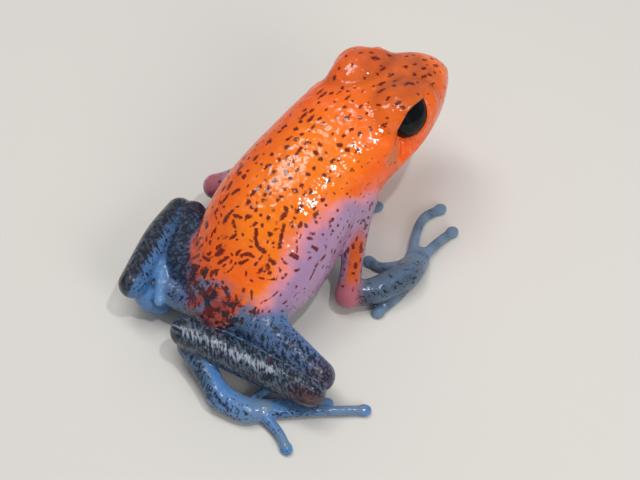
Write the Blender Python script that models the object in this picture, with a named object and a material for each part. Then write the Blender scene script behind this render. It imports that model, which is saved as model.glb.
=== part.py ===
"""Strawberry poison dart frog, "blue jeans" colour form: a still, life-size model in a sitting pose.

Plan places are millimetres as (forward, left, up) from the point on the floor under the vent.
The frog faces -Y, its left is +X, and the floor is z = 0.
"""

import math

import bmesh
import bpy
from mathutils import Matrix, Vector

MM = 0.001
GAP = 0.28  # clearance between touching nodes
FLOOR = Vector((0.0, 0.0, 0.0))
CUT_TOLERANCE = 1e-8
SHARP_EDGE = math.radians(40.0)

# Trunk and head: forward, left, up of the centre line, half width, height above and below it
VENT_TIP = (-0.7, -0.1, 2.2)
TRUNK = (
    (-0.3, -0.1, 2.3, 1.7, 1.05, 0.95),
    (0.8, -0.2, 2.6, 2.85, 1.8, 1.5),
    (2.5, -0.28, 3.15, 3.7, 2.45, 2.15),
    (4.6, -0.1, 3.85, 4.22, 2.95, 2.75),
    (6.8, 0.32, 4.6, 4.28, 3.25, 3.2),
    (9.0, 0.44, 5.35, 4.13, 3.2, 3.2),
    (11.0, 0.38, 6.05, 3.98, 2.95, 2.95),
    (12.8, 0.27, 6.7, 3.9, 2.6, 2.65),
    (14.4, -0.02, 7.2, 3.9, 2.4, 2.35),
    (16.2, -0.42, 7.6, 3.58, 2.15, 2.05),
    (17.9, -0.74, 7.8, 2.9, 1.9, 1.8),
    (19.3, -0.97, 7.8, 2.07, 1.55, 1.55),
    (20.2, -1.15, 7.75, 1.36, 1.08, 1.17),
    (20.68, -1.245, 7.68, 0.78, 0.6, 0.68),
)
SNOUT_TIP = (20.85, -1.27, 7.65)
TRUNK_SIDES = 36
TRUNK_STEPS = 3
TRUNK_SQUARENESS = 2.25
NECK_STATION = (13.1, 0.22, 6.75)
NECK_DIRECTION = (0.96, -0.05, 0.24)

# Head: its own axes are turned to the right and level with the floor
HEAD_YAW = math.radians(-12.0)
EYE_LINE = (16.15, -0.12, 8.75)
EYE_RADIUS = 1.12
EYE_SIDE = 1.95
EYE_DROP = 0.35
DOME_RADII = (2.15, 1.62, 1.36)
DOME_SIDE = 2.05
GAZE_FORWARD = math.radians(6.0)
GAZE_UP = math.radians(24.0)
LID_HALF_LENGTH = math.radians(50.0)
UPPER_LID_OPEN = math.radians(18.0)
LOWER_LID_OPEN = math.radians(40.0)
UPPER_LID_REACH = 1.74
LOWER_LID_REACH = 1.47
LID_RADIUS = 0.22
LID_POINTS = 9
SOCKET_REACH = 2.6
MOUTH_BACK = 14.9
MOUTH_ANGLE = math.radians(27.0)
MOUTH_GROOVE = 0.13
LIP_ANGLE = math.radians(19.0)
LIP_RADIUS = 0.3
LIP_SINK = -0.17
NOSTRIL_RADIUS = 0.17
NOSTRIL_BACK = 19.75
NOSTRIL_ANGLE = math.radians(24.0)
TYMPANUM_RADIUS = 0.45
TYMPANUM_DEPTH = 0.16
TYMPANUM_BACK = 14.0
TYMPANUM_ANGLE = math.radians(8.0)

# Right arm, planted beside the chest with the hand pointing forward
ARM_RIGHT = {
    "shoulder": (10.6, -2.85, 5.2),
    "armpit": (9.75, -3.45, 4.2),
    "elbow": (7.0, -4.95, 1.2),
    "belly": (8.55, -6.05, 1.05),
    "wrist": (10.6, -6.7, 0.95),
    "palm": (11.95, -6.42, 0.49),
    "knuckles": (12.74, -6.19, 0.46),
    "fingers": (
        ((11.4, -5.9, 0.46), (10.47, -4.95, 0.42), (10.42, -4.0, 0.24)),
        ((12.4, -5.85, 0.46), (13.93, -5.02, 0.42), (15.33, -4.6, 0.38), (16.64, -4.92, 0.24)),
        ((12.5, -6.5, 0.46), (14.1, -6.49, 0.42), (15.63, -6.64, 0.24)),
        ((11.4, -6.95, 0.4), (9.6, -7.05, 0.3), (7.73, -6.82, 0.24)),
    ),
}
# Left arm, reaching across under the throat
ARM_LEFT = {
    "shoulder": (10.7, 3.0, 5.2),
    "armpit": (10.2, 3.7, 4.4),
    "elbow": (7.7, 6.5, 2.15),
    "belly": (8.9, 5.3, 1.65),
    "wrist": (11.0, 3.05, 0.85),
    "palm": (12.0, 1.7, 0.49),
    "knuckles": (12.5, 0.9, 0.46),
    "fingers": (
        ((11.4, 1.4, 0.46), (10.7, 0.5, 0.42), (10.4, -0.5, 0.24)),
        ((12.2, 0.9, 0.46), (12.8, -0.1, 0.42), (13.4, -1.0, 0.38), (14.2, -1.6, 0.24)),
        ((12.6, 1.2, 0.46), (14.1, 0.9, 0.42), (15.4, 0.4, 0.24)),
        ((12.2, 2.1, 0.46), (13.0, 2.9, 0.42), (13.7, 3.8, 0.24)),
    ),
}
SHOULDER_RADIUS = 1.0
ARMPIT_RADIUS = 0.76
UPPER_ARM_RADIUS = 0.66
ELBOW_RADIUS = 0.76
FOREARM_RADIUS = 0.84
WRIST_RADIUS = 0.8
PALM_RADIUS = 0.86
KNUCKLE_RADIUS = 0.58
PALM_FLATNESS = 0.62
FINGER_RADIUS = 0.3
DIGIT_ROOT_SWELL = 1.15
FINGER_DISC = (0.46, 0.4, 0.28)

# Right leg, folded out to the side with its shank laid back along the thigh
LEG_RIGHT = {
    "hip": (1.6, -2.0, 2.85),
    "groin": (1.05, -3.45, 2.7),
    "thigh_end": (0.9, -7.7, 2.15),
    "shank_start": (-0.15, -7.9, 1.95),
    "calf": (-1.1, -3.7, 2.2),
    "shank_end": (-1.95, 0.3, 2.45),
    "tarsus_start": (-2.15, -0.12, 1.5),
    "tarsus_middle": (-2.65, -1.8, 1.25),
    "ankle": (-3.35, -3.55, 0.95),
    "sole": (-2.9, -5.27, 0.58),
    "instep": (-2.15, -6.0, 0.55),
    "toes": (
        ((-2.4, -5.2, 0.5), (-1.6, -5.15, 0.46), (-0.7, -5.2, 0.24)),
        ((-2.3, -5.6, 0.5), (-1.5, -6.1, 0.46), (-0.8, -6.9, 0.24)),
        ((-2.2, -6.0, 0.46), (-0.75, -7.2, 0.42), (0.6, -8.5, 0.24)),
        ((-2.2, -6.3, 0.46), (-0.2, -8.5, 0.42), (1.67, -10.51, 0.24)),
        ((-2.5, -6.4, 0.46), (-2.79, -7.7, 0.42), (-3.21, -8.6, 0.24)),
    ),
}
# Left leg, folded beside the rump with its foot under the belly
LEG_LEFT = {
    "hip": (1.4, 2.0, 2.8),
    "groin": (1.75, 3.5, 2.65),
    "thigh_end": (5.0, 6.1, 2.1),
    "shank_start": (4.8, 7.0, 1.95),
    "calf": (2.2, 6.25, 2.4),
    "shank_end": (-1.55, 4.9, 2.85),
    "tarsus_start": (-1.2, 4.35, 1.85),
    "tarsus_middle": (-1.1, 4.1, 1.35),
    "ankle": (-0.6, 3.75, 0.95),
    "sole": (1.5, 3.8, 0.56),
    "instep": (2.6, 3.95, 0.46),
    "toes": (
        ((2.0, 3.4, 0.46), (2.8, 2.7, 0.4), (3.5, 2.2, 0.24)),
        ((2.4, 3.6, 0.46), (3.7, 3.1, 0.38), (4.8, 2.9, 0.24)),
        ((2.6, 3.9, 0.44), (4.5, 4.0, 0.36), (6.1, 4.1, 0.24)),
        ((2.6, 4.2, 0.44), (4.9, 5.0, 0.36), (7.0, 5.5, 0.24)),
        ((2.4, 4.4, 0.46), (3.4, 5.7, 0.38), (4.2, 6.7, 0.24)),
    ),
}
HIP_RADIUS = 1.25
THIGH_RADIUS = 1.32
THIGH_MIDDLE_SHARE = 0.45
THIGH_MIDDLE_RADIUS = 1.15
THIGH_END_RADIUS = 0.96
SHANK_START_RADIUS = 0.92
SHANK_RADIUS = 1.02
SHANK_END_RADIUS = 0.9
TARSUS_START_RADIUS = 0.73
TARSUS_RADIUS = 0.72
ANKLE_RADIUS = 0.74
SOLE_RADIUS = 0.8
INSTEP_RADIUS = 0.55
FOOT_FLATNESS = 0.8
TOE_RADIUS = 0.3
TOE_DISC = (0.44, 0.38, 0.28)

LIMB_SIDES = 16
DIGIT_SIDES = 9
GROOVE_SIDES = 6
RING_LENGTH = 0.55
CAP_ANGLES = (math.radians(68.0), math.radians(45.0), math.radians(22.0))
CURVE_STEPS = 8
DOME_SEGMENTS = 26
SOCKET_SEGMENTS = 24
EYE_SEGMENTS = 20
TYMPANUM_SEGMENTS = 14
DISC_SEGMENTS = 12
NOSTRIL_SEGMENTS = 10

# Base colour and roughness of each kind of skin, and of the eyes
FINISHES = {
    "orange": ((0.95, 0.16, 0.012), 0.3),
    "shoulder": ((0.75, 0.17, 0.06), 0.35),
    "slate": ((0.07, 0.13, 0.22), 0.35),
    "navy": ((0.03, 0.06, 0.12), 0.3),
    "blue": ((0.12, 0.26, 0.42), 0.35),
    "black": ((0.006, 0.006, 0.008), 0.05),
}


def spot(place):
    """A plan place in metres, in world axes."""
    forward, left, up = place
    return Vector((left, -forward, up)) * MM


def clear_scene():
    for old in list(bpy.data.objects):
        bpy.data.objects.remove(old)


def catmull_rom(values, steps):
    """Smooth rows through the given rows, steps for each stretch, with both ends kept."""
    rows = [Vector(row) for row in values]
    padded = [2 * rows[0] - rows[1], *rows, 2 * rows[-1] - rows[-2]]
    smooth = []
    for i in range(1, len(padded) - 2):
        before, start, end, after = padded[i - 1 : i + 3]
        for step in range(steps):
            t = step / steps
            smooth.append(
                0.5
                * (
                    2 * start
                    + (end - before) * t
                    + (2 * before - 5 * start + 4 * end - after) * t * t
                    + (3 * start - before - 3 * end + after) * t**3
                )
            )
    smooth.append(rows[-1])
    return smooth


def mesh_object(name, bm):
    """Turns a mesh under construction into an object in the scene, with its faces turned outwards."""
    bmesh.ops.recalc_face_normals(bm, faces=bm.faces)
    if bm.calc_volume(signed=True) < 0:
        bmesh.ops.reverse_faces(bm, faces=bm.faces)
    mesh = bpy.data.meshes.new(name)
    bm.to_mesh(mesh)
    bm.free()
    obj = bpy.data.objects.new(name, mesh)
    bpy.context.scene.collection.objects.link(obj)
    return obj


def skin_rings(bm, rings, start, end):
    """Joins rings of vertices by quads and closes both ends to a pole."""
    for ring, following in zip(rings, rings[1:]):
        for i in range(len(ring)):
            after = (i + 1) % len(ring)
            bm.faces.new((ring[i], ring[after], following[after], following[i]))
    for ring, pole_place in ((rings[0], start), (rings[-1], end)):
        pole = bm.verts.new(pole_place)
        for i in range(len(ring)):
            bm.faces.new((pole, ring[(i + 1) % len(ring)], ring[i]))


def rounded(cosine, power):
    """A cosine or sine reshaped so that a section of this power is squarer than an ellipse."""
    return math.copysign(abs(cosine) ** (2 / power), cosine)


def trunk_frames(grow=0.0):
    """The sections of the body: centre, left and up directions, and the three radii in millimetres."""
    rows = catmull_rom(TRUNK, TRUNK_STEPS)
    line = [spot(VENT_TIP), *(spot(row[:3]) for row in rows), spot(SNOUT_TIP)]
    frames = []
    for index, row in enumerate(rows):
        tangent = (line[index + 2] - line[index]).normalized()
        side = Vector((0, 0, 1)).cross(tangent).normalized()
        radii = [value + grow for value in row[3:6]]
        frames.append((line[index + 1], side, tangent.cross(side), radii))
    return frames


def surface_place(frame, angle, grow=0.0):
    """A world place on a section, at an angle from its left side towards its top."""
    centre, side, up, (half_width, above, below) = frame
    across = (half_width + grow) * rounded(math.cos(angle), TRUNK_SQUARENESS)
    sine = rounded(math.sin(angle), TRUNK_SQUARENESS)
    rise = ((above if sine > 0 else below) + grow) * sine
    return centre + (side * across + up * rise) * MM


def frame_near(forward):
    """The section whose centre is nearest to a distance forward of the vent."""
    return min(trunk_frames(), key=lambda frame: abs(-frame[0].y / MM - forward))


def trunk_loft(name, grow):
    """The whole body from vent to snout, with every radius grown by the given millimetres."""
    frames = trunk_frames(grow)
    bm = bmesh.new()
    rings = [
        [bm.verts.new(surface_place(frame, math.tau * i / TRUNK_SIDES)) for i in range(TRUNK_SIDES)]
        for frame in frames
    ]
    tail = spot(VENT_TIP)
    snout = spot(SNOUT_TIP)
    tail += (tail - frames[0][0]).normalized() * grow * MM
    snout += (snout - frames[-1][0]).normalized() * grow * MM
    skin_rings(bm, rings, tail, snout)
    return mesh_object(name, bm)


def tube(name, places, radii, sides, flat=1.0):
    """A tube with round ends through plan places, with a radius in millimetres at each."""
    rows = [(*place, radius) for place, radius in zip(places, radii)]
    smooth = catmull_rom(rows, CURVE_STEPS)
    points = [spot(row[:3]) for row in (tuple(r) for r in smooth)]
    sizes = [row[3] * MM for row in smooth]
    kept = [0]
    for i in range(1, len(points)):
        if (points[i] - points[kept[-1]]).length > RING_LENGTH * MM:
            kept.append(i)
    kept[-1] = len(points) - 1
    points = [points[i] for i in kept]
    sizes = [sizes[i] for i in kept]
    bm = bmesh.new()
    rings = []

    def add_ring(centre, tangent, size):
        side = Vector((0, 0, 1)).cross(tangent).normalized()
        up = tangent.cross(side).normalized()
        rings.append(
            [
                bm.verts.new(
                    centre
                    + side * size * math.cos(math.tau * i / sides)
                    + up * size * flat * math.sin(math.tau * i / sides)
                )
                for i in range(sides)
            ]
        )

    first = (points[1] - points[0]).normalized()
    last = (points[-1] - points[-2]).normalized()
    for angle in CAP_ANGLES:
        add_ring(points[0] - first * sizes[0] * math.sin(angle), first, sizes[0] * math.cos(angle))
    for i, point in enumerate(points):
        before = points[max(i - 1, 0)]
        after = points[min(i + 1, len(points) - 1)]
        add_ring(point, (after - before).normalized(), sizes[i])
    for angle in reversed(CAP_ANGLES):
        add_ring(points[-1] + last * sizes[-1] * math.sin(angle), last, sizes[-1] * math.cos(angle))
    skin_rings(bm, rings, points[0] - first * sizes[0], points[-1] + last * sizes[-1])
    return mesh_object(name, bm)


def ellipsoid(name, centre, radii, axes, segments):
    """An ellipsoid at a world place, with radii in millimetres along the axes given as columns."""
    bm = bmesh.new()
    bmesh.ops.create_uvsphere(bm, u_segments=segments, v_segments=segments // 2, radius=1.0)
    size = Matrix.Diagonal((*(radius * MM for radius in radii), 1.0))
    bm.transform(Matrix.Translation(centre) @ axes.to_4x4() @ size)
    return mesh_object(name, bm)


def freeze(obj):
    """Replaces an object's mesh by the mesh that its modifiers give."""
    graph = bpy.context.evaluated_depsgraph_get()
    graph.update()
    mesh = bpy.data.meshes.new_from_object(obj.evaluated_get(graph))
    obj.modifiers.clear()
    obj.data = mesh


def boolean(obj, others, operation):
    """Joins or cuts an object with a collection of closed meshes, which are then removed."""
    group = bpy.data.collections.new(obj.name + "_pieces")
    bpy.context.scene.collection.children.link(group)
    for other in others:
        group.objects.link(other)
    modifier = obj.modifiers.new("Join", "BOOLEAN")
    modifier.operation = operation
    modifier.operand_type = "COLLECTION"
    modifier.collection = group
    modifier.solver = "EXACT"
    freeze(obj)
    for other in others:
        bpy.data.objects.remove(other)
    bpy.data.collections.remove(group)
    keep_largest(obj)


def keep_largest(obj):
    """Keeps the largest closed surface and drops any scrap."""
    bm = bmesh.new()
    bm.from_mesh(obj.data)
    bm.verts.ensure_lookup_table()
    unseen = set(bm.verts)
    shells = []
    while unseen:
        stack = [unseen.pop()]
        shell = set(stack)
        while stack:
            for edge in stack.pop().link_edges:
                for vert in edge.verts:
                    if vert in unseen:
                        unseen.remove(vert)
                        shell.add(vert)
                        stack.append(vert)
        shells.append(shell)
    if len(shells) > 1:
        largest = max(shells, key=len)
        bmesh.ops.delete(bm, geom=[v for v in bm.verts if v not in largest], context="VERTS")
        bm.to_mesh(obj.data)
    bm.free()


def slice_off(obj, place, direction):
    """Cuts an object by a plane at a world place and drops the side that the direction points to."""
    bm = bmesh.new()
    bm.from_mesh(obj.data)
    geometry = bm.verts[:] + bm.edges[:] + bm.faces[:]
    cut = bmesh.ops.bisect_plane(
        bm, geom=geometry, dist=CUT_TOLERANCE, plane_co=place, plane_no=direction, clear_outer=True
    )
    edges = [item for item in cut["geom_cut"] if isinstance(item, bmesh.types.BMEdge)]
    if edges:
        bmesh.ops.edgeloop_fill(bm, edges=edges)
        bmesh.ops.recalc_face_normals(bm, faces=bm.faces)
    bm.to_mesh(obj.data)
    bm.free()
    keep_largest(obj)


def part_by_plane(before, after, place, normal):
    """Parts two nodes by a plane at a world place, half the gap on each side."""
    half = normal * GAP * 0.5 * MM
    slice_off(before, place - half, normal)
    slice_off(after, place + half, -normal)


def part_at_bend(before, after, start, bend, end):
    """Parts two lengths of a limb by the mitre plane of a wide bend, from three plan places."""
    inward = (spot(bend) - spot(start)).normalized()
    outward = (spot(end) - spot(bend)).normalized()
    part_by_plane(before, after, spot(bend), (inward + outward).normalized())


def part_at_fold(before, after, ends_before, ends_after):
    """Parts two lengths that lie folded side by side, from the plan places of both ends of each."""
    far_before, near_before = (spot(place) for place in ends_before)
    near_after, far_after = (spot(place) for place in ends_after)
    tip = (near_before - far_before).normalized() + (near_after - far_after).normalized()
    tip.normalize()
    across = near_after - near_before
    across -= tip * across.dot(tip)
    part_by_plane(before, after, (near_before + near_after) / 2, across.normalized())


def flatten_below(obj):
    """Cuts away what would reach under the floor, which leaves the flats that the model rests on."""
    slice_off(obj, FLOOR, Vector((0, 0, -1)))


def finish(obj, kind):
    """Gives an object its own material in one of the kinds of skin."""
    colour, roughness = FINISHES[kind]
    material = bpy.data.materials.new(obj.name + "_finish")
    material.use_nodes = True
    shader = material.node_tree.nodes["Principled BSDF"]
    shader.inputs["Base Color"].default_value = (*colour, 1.0)
    shader.inputs["Roughness"].default_value = roughness
    shader.inputs["Metallic"].default_value = 0.0
    obj.data.materials.clear()
    obj.data.materials.append(material)
    obj.data.shade_smooth()
    obj.data.set_sharp_from_angle(angle=SHARP_EDGE)


def head_axes():
    """Columns: the head's forward, left and up in world axes."""
    forward = Vector((math.sin(HEAD_YAW), -math.cos(HEAD_YAW), 0))
    left = Vector((math.cos(HEAD_YAW), math.sin(HEAD_YAW), 0))
    return Matrix((forward, left, Vector((0, 0, 1)))).transposed()


def head_place(forward, left, up):
    """A world place from millimetres along the head's own axes, from between the eyes."""
    return spot(EYE_LINE) + head_axes() @ Vector((forward, left, up)) * MM


def ball_place(side):
    """The middle of the eyeball on one side, a little below the middle of its dome."""
    return head_place(0, side * EYE_SIDE, -EYE_DROP)


def plan_of(place):
    """The plan place of a world place."""
    return (-place.y / MM, place.x / MM, place.z / MM)


def gaze_axes(side):
    """Columns: along the eye's length, up and out of the head, in world axes."""
    out = Vector((math.sin(GAZE_FORWARD), side * math.cos(GAZE_FORWARD), math.sin(GAZE_UP)))
    out = (head_axes() @ out).normalized()
    along = (head_axes() @ Vector((1, 0, 0))).cross(out).cross(out) * -1
    along.normalize()
    up = along.cross(out) * side
    return Matrix((along, up, out)).transposed()


def lid_places(side, rise, open_angle, reach):
    """World places along one lid's edge, from the eye's front corner to its rear one."""
    places = []
    for i in range(LID_POINTS):
        angle = math.pi * i / (LID_POINTS - 1)
        along = math.sin(LID_HALF_LENGTH) * math.cos(angle)
        up = rise * math.sin(open_angle) * math.sin(angle)
        out = math.sqrt(1 - along * along - up * up)
        places.append(ball_place(side) + gaze_axes(side) @ Vector((along, up, out)) * reach * MM)
    return places


def lid_cone(side):
    """The almond-shaped opening between the lids, from inside the eyeball outwards."""
    upper = lid_places(side, 1, UPPER_LID_OPEN, SOCKET_REACH)
    lower = lid_places(side, -1, LOWER_LID_OPEN, SOCKET_REACH)
    edge = upper + lower[-2:0:-1]
    bm = bmesh.new()
    ring = [bm.verts.new(place) for place in edge]
    inner = bm.verts.new(ball_place(side))
    outer = bm.verts.new(ball_place(side) + gaze_axes(side).col[2] * SOCKET_REACH * MM)
    for i in range(len(ring)):
        after = (i + 1) % len(ring)
        bm.faces.new((ring[i], ring[after], inner))
        bm.faces.new((ring[after], ring[i], outer))
    return mesh_object("opening", bm)


def mouth_line(angle, grow):
    """Plan places on the skin from the right corner of the mouth, round the snout, to the left one."""
    frames = [frame for frame in trunk_frames() if -frame[0].y / MM > MOUTH_BACK]
    right = [surface_place(frame, math.pi + angle, grow) for frame in frames]
    left = [surface_place(frame, -angle, grow) for frame in frames]
    front = spot(SNOUT_TIP)
    front += (front - frames[-1][0]).normalized() * grow * MM
    front.z = (right[-1].z + left[-1].z) / 2
    return [plan_of(place) for place in (*right, front, *reversed(left))]


def build_head_and_torso():
    """The head with its lids, lips, mouth line and nostrils, both eyes, and the torso with limb sockets."""
    torso = trunk_loft("torso", 0.0)
    head = trunk_loft("head", 0.0)
    direction = spot(NECK_DIRECTION).normalized()
    half = direction * GAP * 0.5 * MM
    slice_off(torso, spot(NECK_STATION) - half, direction)
    slice_off(head, spot(NECK_STATION) + half, -direction)
    axes = head_axes()
    added = []
    cuts = []
    eyes = []
    for side, word in ((1, "left"), (-1, "right")):
        dome = head_place(0, side * DOME_SIDE, 0)
        added.append(ellipsoid("dome", dome, DOME_RADII, axes, DOME_SEGMENTS))
        for lid in ((1, UPPER_LID_OPEN, UPPER_LID_REACH), (-1, LOWER_LID_OPEN, LOWER_LID_REACH)):
            places = [plan_of(place) for place in lid_places(side, *lid)]
            added.append(tube("lid", places, [LID_RADIUS] * len(places), DIGIT_SIDES))
        ball = ball_place(side)
        cuts.append(ellipsoid("socket", ball, [EYE_RADIUS + GAP] * 3, axes, SOCKET_SEGMENTS))
        cuts.append(lid_cone(side))
        eyes.append(ellipsoid("eye_" + word, ball, [EYE_RADIUS] * 3, axes, EYE_SEGMENTS))
        turn = NOSTRIL_ANGLE if side > 0 else math.pi - NOSTRIL_ANGLE
        nostril = surface_place(frame_near(NOSTRIL_BACK), turn)
        cuts.append(ellipsoid("nostril", nostril, [NOSTRIL_RADIUS] * 3, axes, NOSTRIL_SEGMENTS))
        turn = TYMPANUM_ANGLE if side > 0 else math.pi - TYMPANUM_ANGLE
        drum = surface_place(frame_near(TYMPANUM_BACK), turn)
        drum_radii = (TYMPANUM_RADIUS, TYMPANUM_DEPTH, TYMPANUM_RADIUS)
        cuts.append(ellipsoid("tympanum", drum, drum_radii, axes, TYMPANUM_SEGMENTS))
    lip = mouth_line(LIP_ANGLE, LIP_SINK)
    added.append(tube("lip", lip, [LIP_RADIUS] * len(lip), DIGIT_SIDES))
    groove = mouth_line(MOUTH_ANGLE, 0.0)
    cuts.append(tube("groove", groove, [MOUTH_GROOVE] * len(groove), GROOVE_SIDES))
    boolean(head, added, "UNION")
    boolean(head, cuts, "DIFFERENCE")
    sockets = [upper_arm("socket", arm, GAP) for arm in (ARM_RIGHT, ARM_LEFT)]
    sockets += [thigh_tube("socket", leg, GAP) for leg in (LEG_RIGHT, LEG_LEFT)]
    boolean(torso, sockets, "DIFFERENCE")
    finish(torso, "orange")
    finish(head, "orange")
    for eye in eyes:
        finish(eye, "black")


def digit(name, places, radius, disc):
    """One finger or toe: a tube that bends down to a flattened disc at its tip."""
    pieces = [tube(name, places, [radius * DIGIT_ROOT_SWELL] + [radius] * (len(places) - 1), DIGIT_SIDES)]
    tip = spot(places[-1])
    along = tip - spot(places[-2])
    along.z = 0
    along.normalize()
    left = Vector((0, 0, 1)).cross(along)
    axes = Matrix((along, left, Vector((0, 0, 1)))).transposed()
    pieces.append(ellipsoid(name + "_disc", tip, disc, axes, DISC_SEGMENTS))
    return pieces


def between(start, end, share=0.5):
    """The plan place at a share of the way from one plan place to another."""
    return [a + (b - a) * share for a, b in zip(start, end)]


def upper_arm(name, arm, grow=0.0):
    """The arm from the shoulder to the elbow, with every radius grown by the given millimetres."""
    middle = between(arm["armpit"], arm["elbow"])
    radii = (SHOULDER_RADIUS, ARMPIT_RADIUS, UPPER_ARM_RADIUS, ELBOW_RADIUS)
    places = [arm["shoulder"], arm["armpit"], middle, arm["elbow"]]
    return tube(name, places, [radius + grow for radius in radii], LIMB_SIDES)


def thigh_tube(name, leg, grow=0.0):
    """The leg from the hip to the knee, with every radius grown by the given millimetres."""
    middle = between(leg["groin"], leg["thigh_end"], THIGH_MIDDLE_SHARE)
    radii = (HIP_RADIUS, THIGH_RADIUS, THIGH_MIDDLE_RADIUS, THIGH_END_RADIUS)
    places = [leg["hip"], leg["groin"], middle, leg["thigh_end"]]
    return tube(name, places, [radius + grow for radius in radii], LIMB_SIDES)


def build_arm(word, arm):
    """Upper arm, forearm and hand, parted at the elbow and the wrist."""
    upper = upper_arm("upper_arm_" + word, arm)
    lower = tube(
        "forearm_" + word,
        [arm["elbow"], arm["belly"], arm["wrist"], arm["palm"]],
        [ELBOW_RADIUS, FOREARM_RADIUS, WRIST_RADIUS, WRIST_RADIUS],
        LIMB_SIDES,
    )
    hand = tube(
        "hand_" + word,
        [arm["belly"], arm["wrist"], arm["palm"], arm["knuckles"]],
        [FOREARM_RADIUS, WRIST_RADIUS, PALM_RADIUS, KNUCKLE_RADIUS],
        LIMB_SIDES,
        flat=PALM_FLATNESS,
    )
    part_at_bend(upper, lower, arm["armpit"], arm["elbow"], arm["belly"])
    part_at_bend(lower, hand, arm["belly"], arm["wrist"], arm["palm"])
    pieces = []
    for number, places in enumerate(arm["fingers"]):
        pieces += digit(f"finger_{number}", places, FINGER_RADIUS, FINGER_DISC)
    boolean(hand, pieces, "UNION")
    grown_disc = [radius + GAP for radius in FINGER_DISC]
    last_finger = digit("clearance", arm["fingers"][-1], FINGER_RADIUS + GAP, grown_disc)
    boolean(lower, [trunk_loft("clearance", GAP), *last_finger], "DIFFERENCE")
    flatten_below(hand)
    finish(upper, "shoulder")
    finish(lower, "slate")
    finish(hand, "blue")


def build_leg(word, leg):
    """Thigh, shank, tarsus and foot, parted at the knee, the heel and the ankle."""
    thigh = thigh_tube("thigh_" + word, leg)
    shank = tube(
        "shank_" + word,
        [leg["shank_start"], leg["calf"], leg["shank_end"]],
        [SHANK_START_RADIUS, SHANK_RADIUS, SHANK_END_RADIUS],
        LIMB_SIDES,
    )
    tarsus = tube(
        "tarsus_" + word,
        [leg["tarsus_start"], leg["tarsus_middle"], leg["ankle"]],
        [TARSUS_START_RADIUS, TARSUS_RADIUS, ANKLE_RADIUS],
        LIMB_SIDES,
    )
    foot = tube(
        "foot_" + word,
        [leg["ankle"], leg["sole"], leg["instep"]],
        [ANKLE_RADIUS, SOLE_RADIUS, INSTEP_RADIUS],
        LIMB_SIDES,
        flat=FOOT_FLATNESS,
    )
    part_at_fold(
        thigh, shank, (leg["groin"], leg["thigh_end"]), (leg["shank_start"], leg["calf"])
    )
    part_at_fold(
        shank, tarsus, (leg["calf"], leg["shank_end"]), (leg["tarsus_start"], leg["tarsus_middle"])
    )
    part_at_bend(tarsus, foot, leg["tarsus_middle"], leg["ankle"], leg["sole"])
    pieces = []
    for number, places in enumerate(leg["toes"]):
        pieces += digit(f"toe_{number}", places, TOE_RADIUS, TOE_DISC)
    boolean(foot, pieces, "UNION")
    for limb in (shank, tarsus, foot):
        boolean(limb, [trunk_loft("clearance", GAP)], "DIFFERENCE")
    for limb in (tarsus, foot):
        boolean(limb, [thigh_tube("clearance", leg, GAP)], "DIFFERENCE")
    flatten_below(foot)
    finish(thigh, "navy")
    finish(shank, "navy")
    finish(tarsus, "blue")
    finish(foot, "blue")


def centre_on_footprint():
    """Moves the meshes so that the middle of the whole box lies over the origin."""
    solids = [obj for obj in bpy.context.scene.objects if obj.type == "MESH"]
    corners = [vert.co for obj in solids for vert in obj.data.vertices]
    middle_x = (min(c.x for c in corners) + max(c.x for c in corners)) / 2
    middle_y = (min(c.y for c in corners) + max(c.y for c in corners)) / 2
    shift = Matrix.Translation((-middle_x, -middle_y, 0))
    for obj in solids:
        obj.data.transform(shift)


def main():
    clear_scene()
    build_head_and_torso()
    for word, arm in (("right", ARM_RIGHT), ("left", ARM_LEFT)):
        build_arm(word, arm)
    for word, leg in (("right", LEG_RIGHT), ("left", LEG_LEFT)):
        build_leg(word, leg)
    centre_on_footprint()


main()
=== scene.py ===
"""Strawberry poison dart frog, "blue jeans" colour form: the looks of the still model.

Laid out as a Blender add-on and run as a script. Plan places are millimetres as
(forward, left, up) from the point on the floor under the vent. The frog faces -Y.
"""

import math

import bmesh
import bpy
import numpy as np
from bpy.props import FloatProperty, FloatVectorProperty, IntProperty, PointerProperty
from mathutils import Matrix, Vector, noise


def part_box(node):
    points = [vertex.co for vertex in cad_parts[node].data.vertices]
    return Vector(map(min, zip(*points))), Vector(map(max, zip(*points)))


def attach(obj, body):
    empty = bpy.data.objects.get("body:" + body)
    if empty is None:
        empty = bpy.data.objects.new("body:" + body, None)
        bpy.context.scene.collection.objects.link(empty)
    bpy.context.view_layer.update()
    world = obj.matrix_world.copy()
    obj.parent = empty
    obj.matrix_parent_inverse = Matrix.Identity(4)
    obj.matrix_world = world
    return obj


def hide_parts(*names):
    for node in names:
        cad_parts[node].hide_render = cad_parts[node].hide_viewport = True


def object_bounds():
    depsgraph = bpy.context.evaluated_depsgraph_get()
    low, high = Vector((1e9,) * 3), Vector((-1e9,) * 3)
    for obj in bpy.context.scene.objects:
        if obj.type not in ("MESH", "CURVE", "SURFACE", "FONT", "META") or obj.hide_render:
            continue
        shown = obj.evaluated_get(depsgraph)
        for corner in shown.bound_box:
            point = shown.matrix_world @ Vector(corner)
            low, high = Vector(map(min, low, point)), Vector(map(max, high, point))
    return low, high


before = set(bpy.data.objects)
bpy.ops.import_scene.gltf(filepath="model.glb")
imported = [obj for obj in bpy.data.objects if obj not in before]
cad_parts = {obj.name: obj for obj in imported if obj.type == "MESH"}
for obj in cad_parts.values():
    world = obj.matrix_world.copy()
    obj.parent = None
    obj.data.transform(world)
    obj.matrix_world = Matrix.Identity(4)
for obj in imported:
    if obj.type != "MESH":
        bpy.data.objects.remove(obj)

bl_info = {
    "name": "Poison Dart Frog",
    "version": (1, 0, 0),
    "blender": (4, 5, 0),
    "location": "3D View > Sidebar > Frog",
    "description": "Builds the skin, the eyes and the stage of a small poison dart frog",
    "category": "Add Mesh",
}

MM = 0.001
CAD_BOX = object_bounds()
UP = (0.0, 0.0, 1.0)

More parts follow.
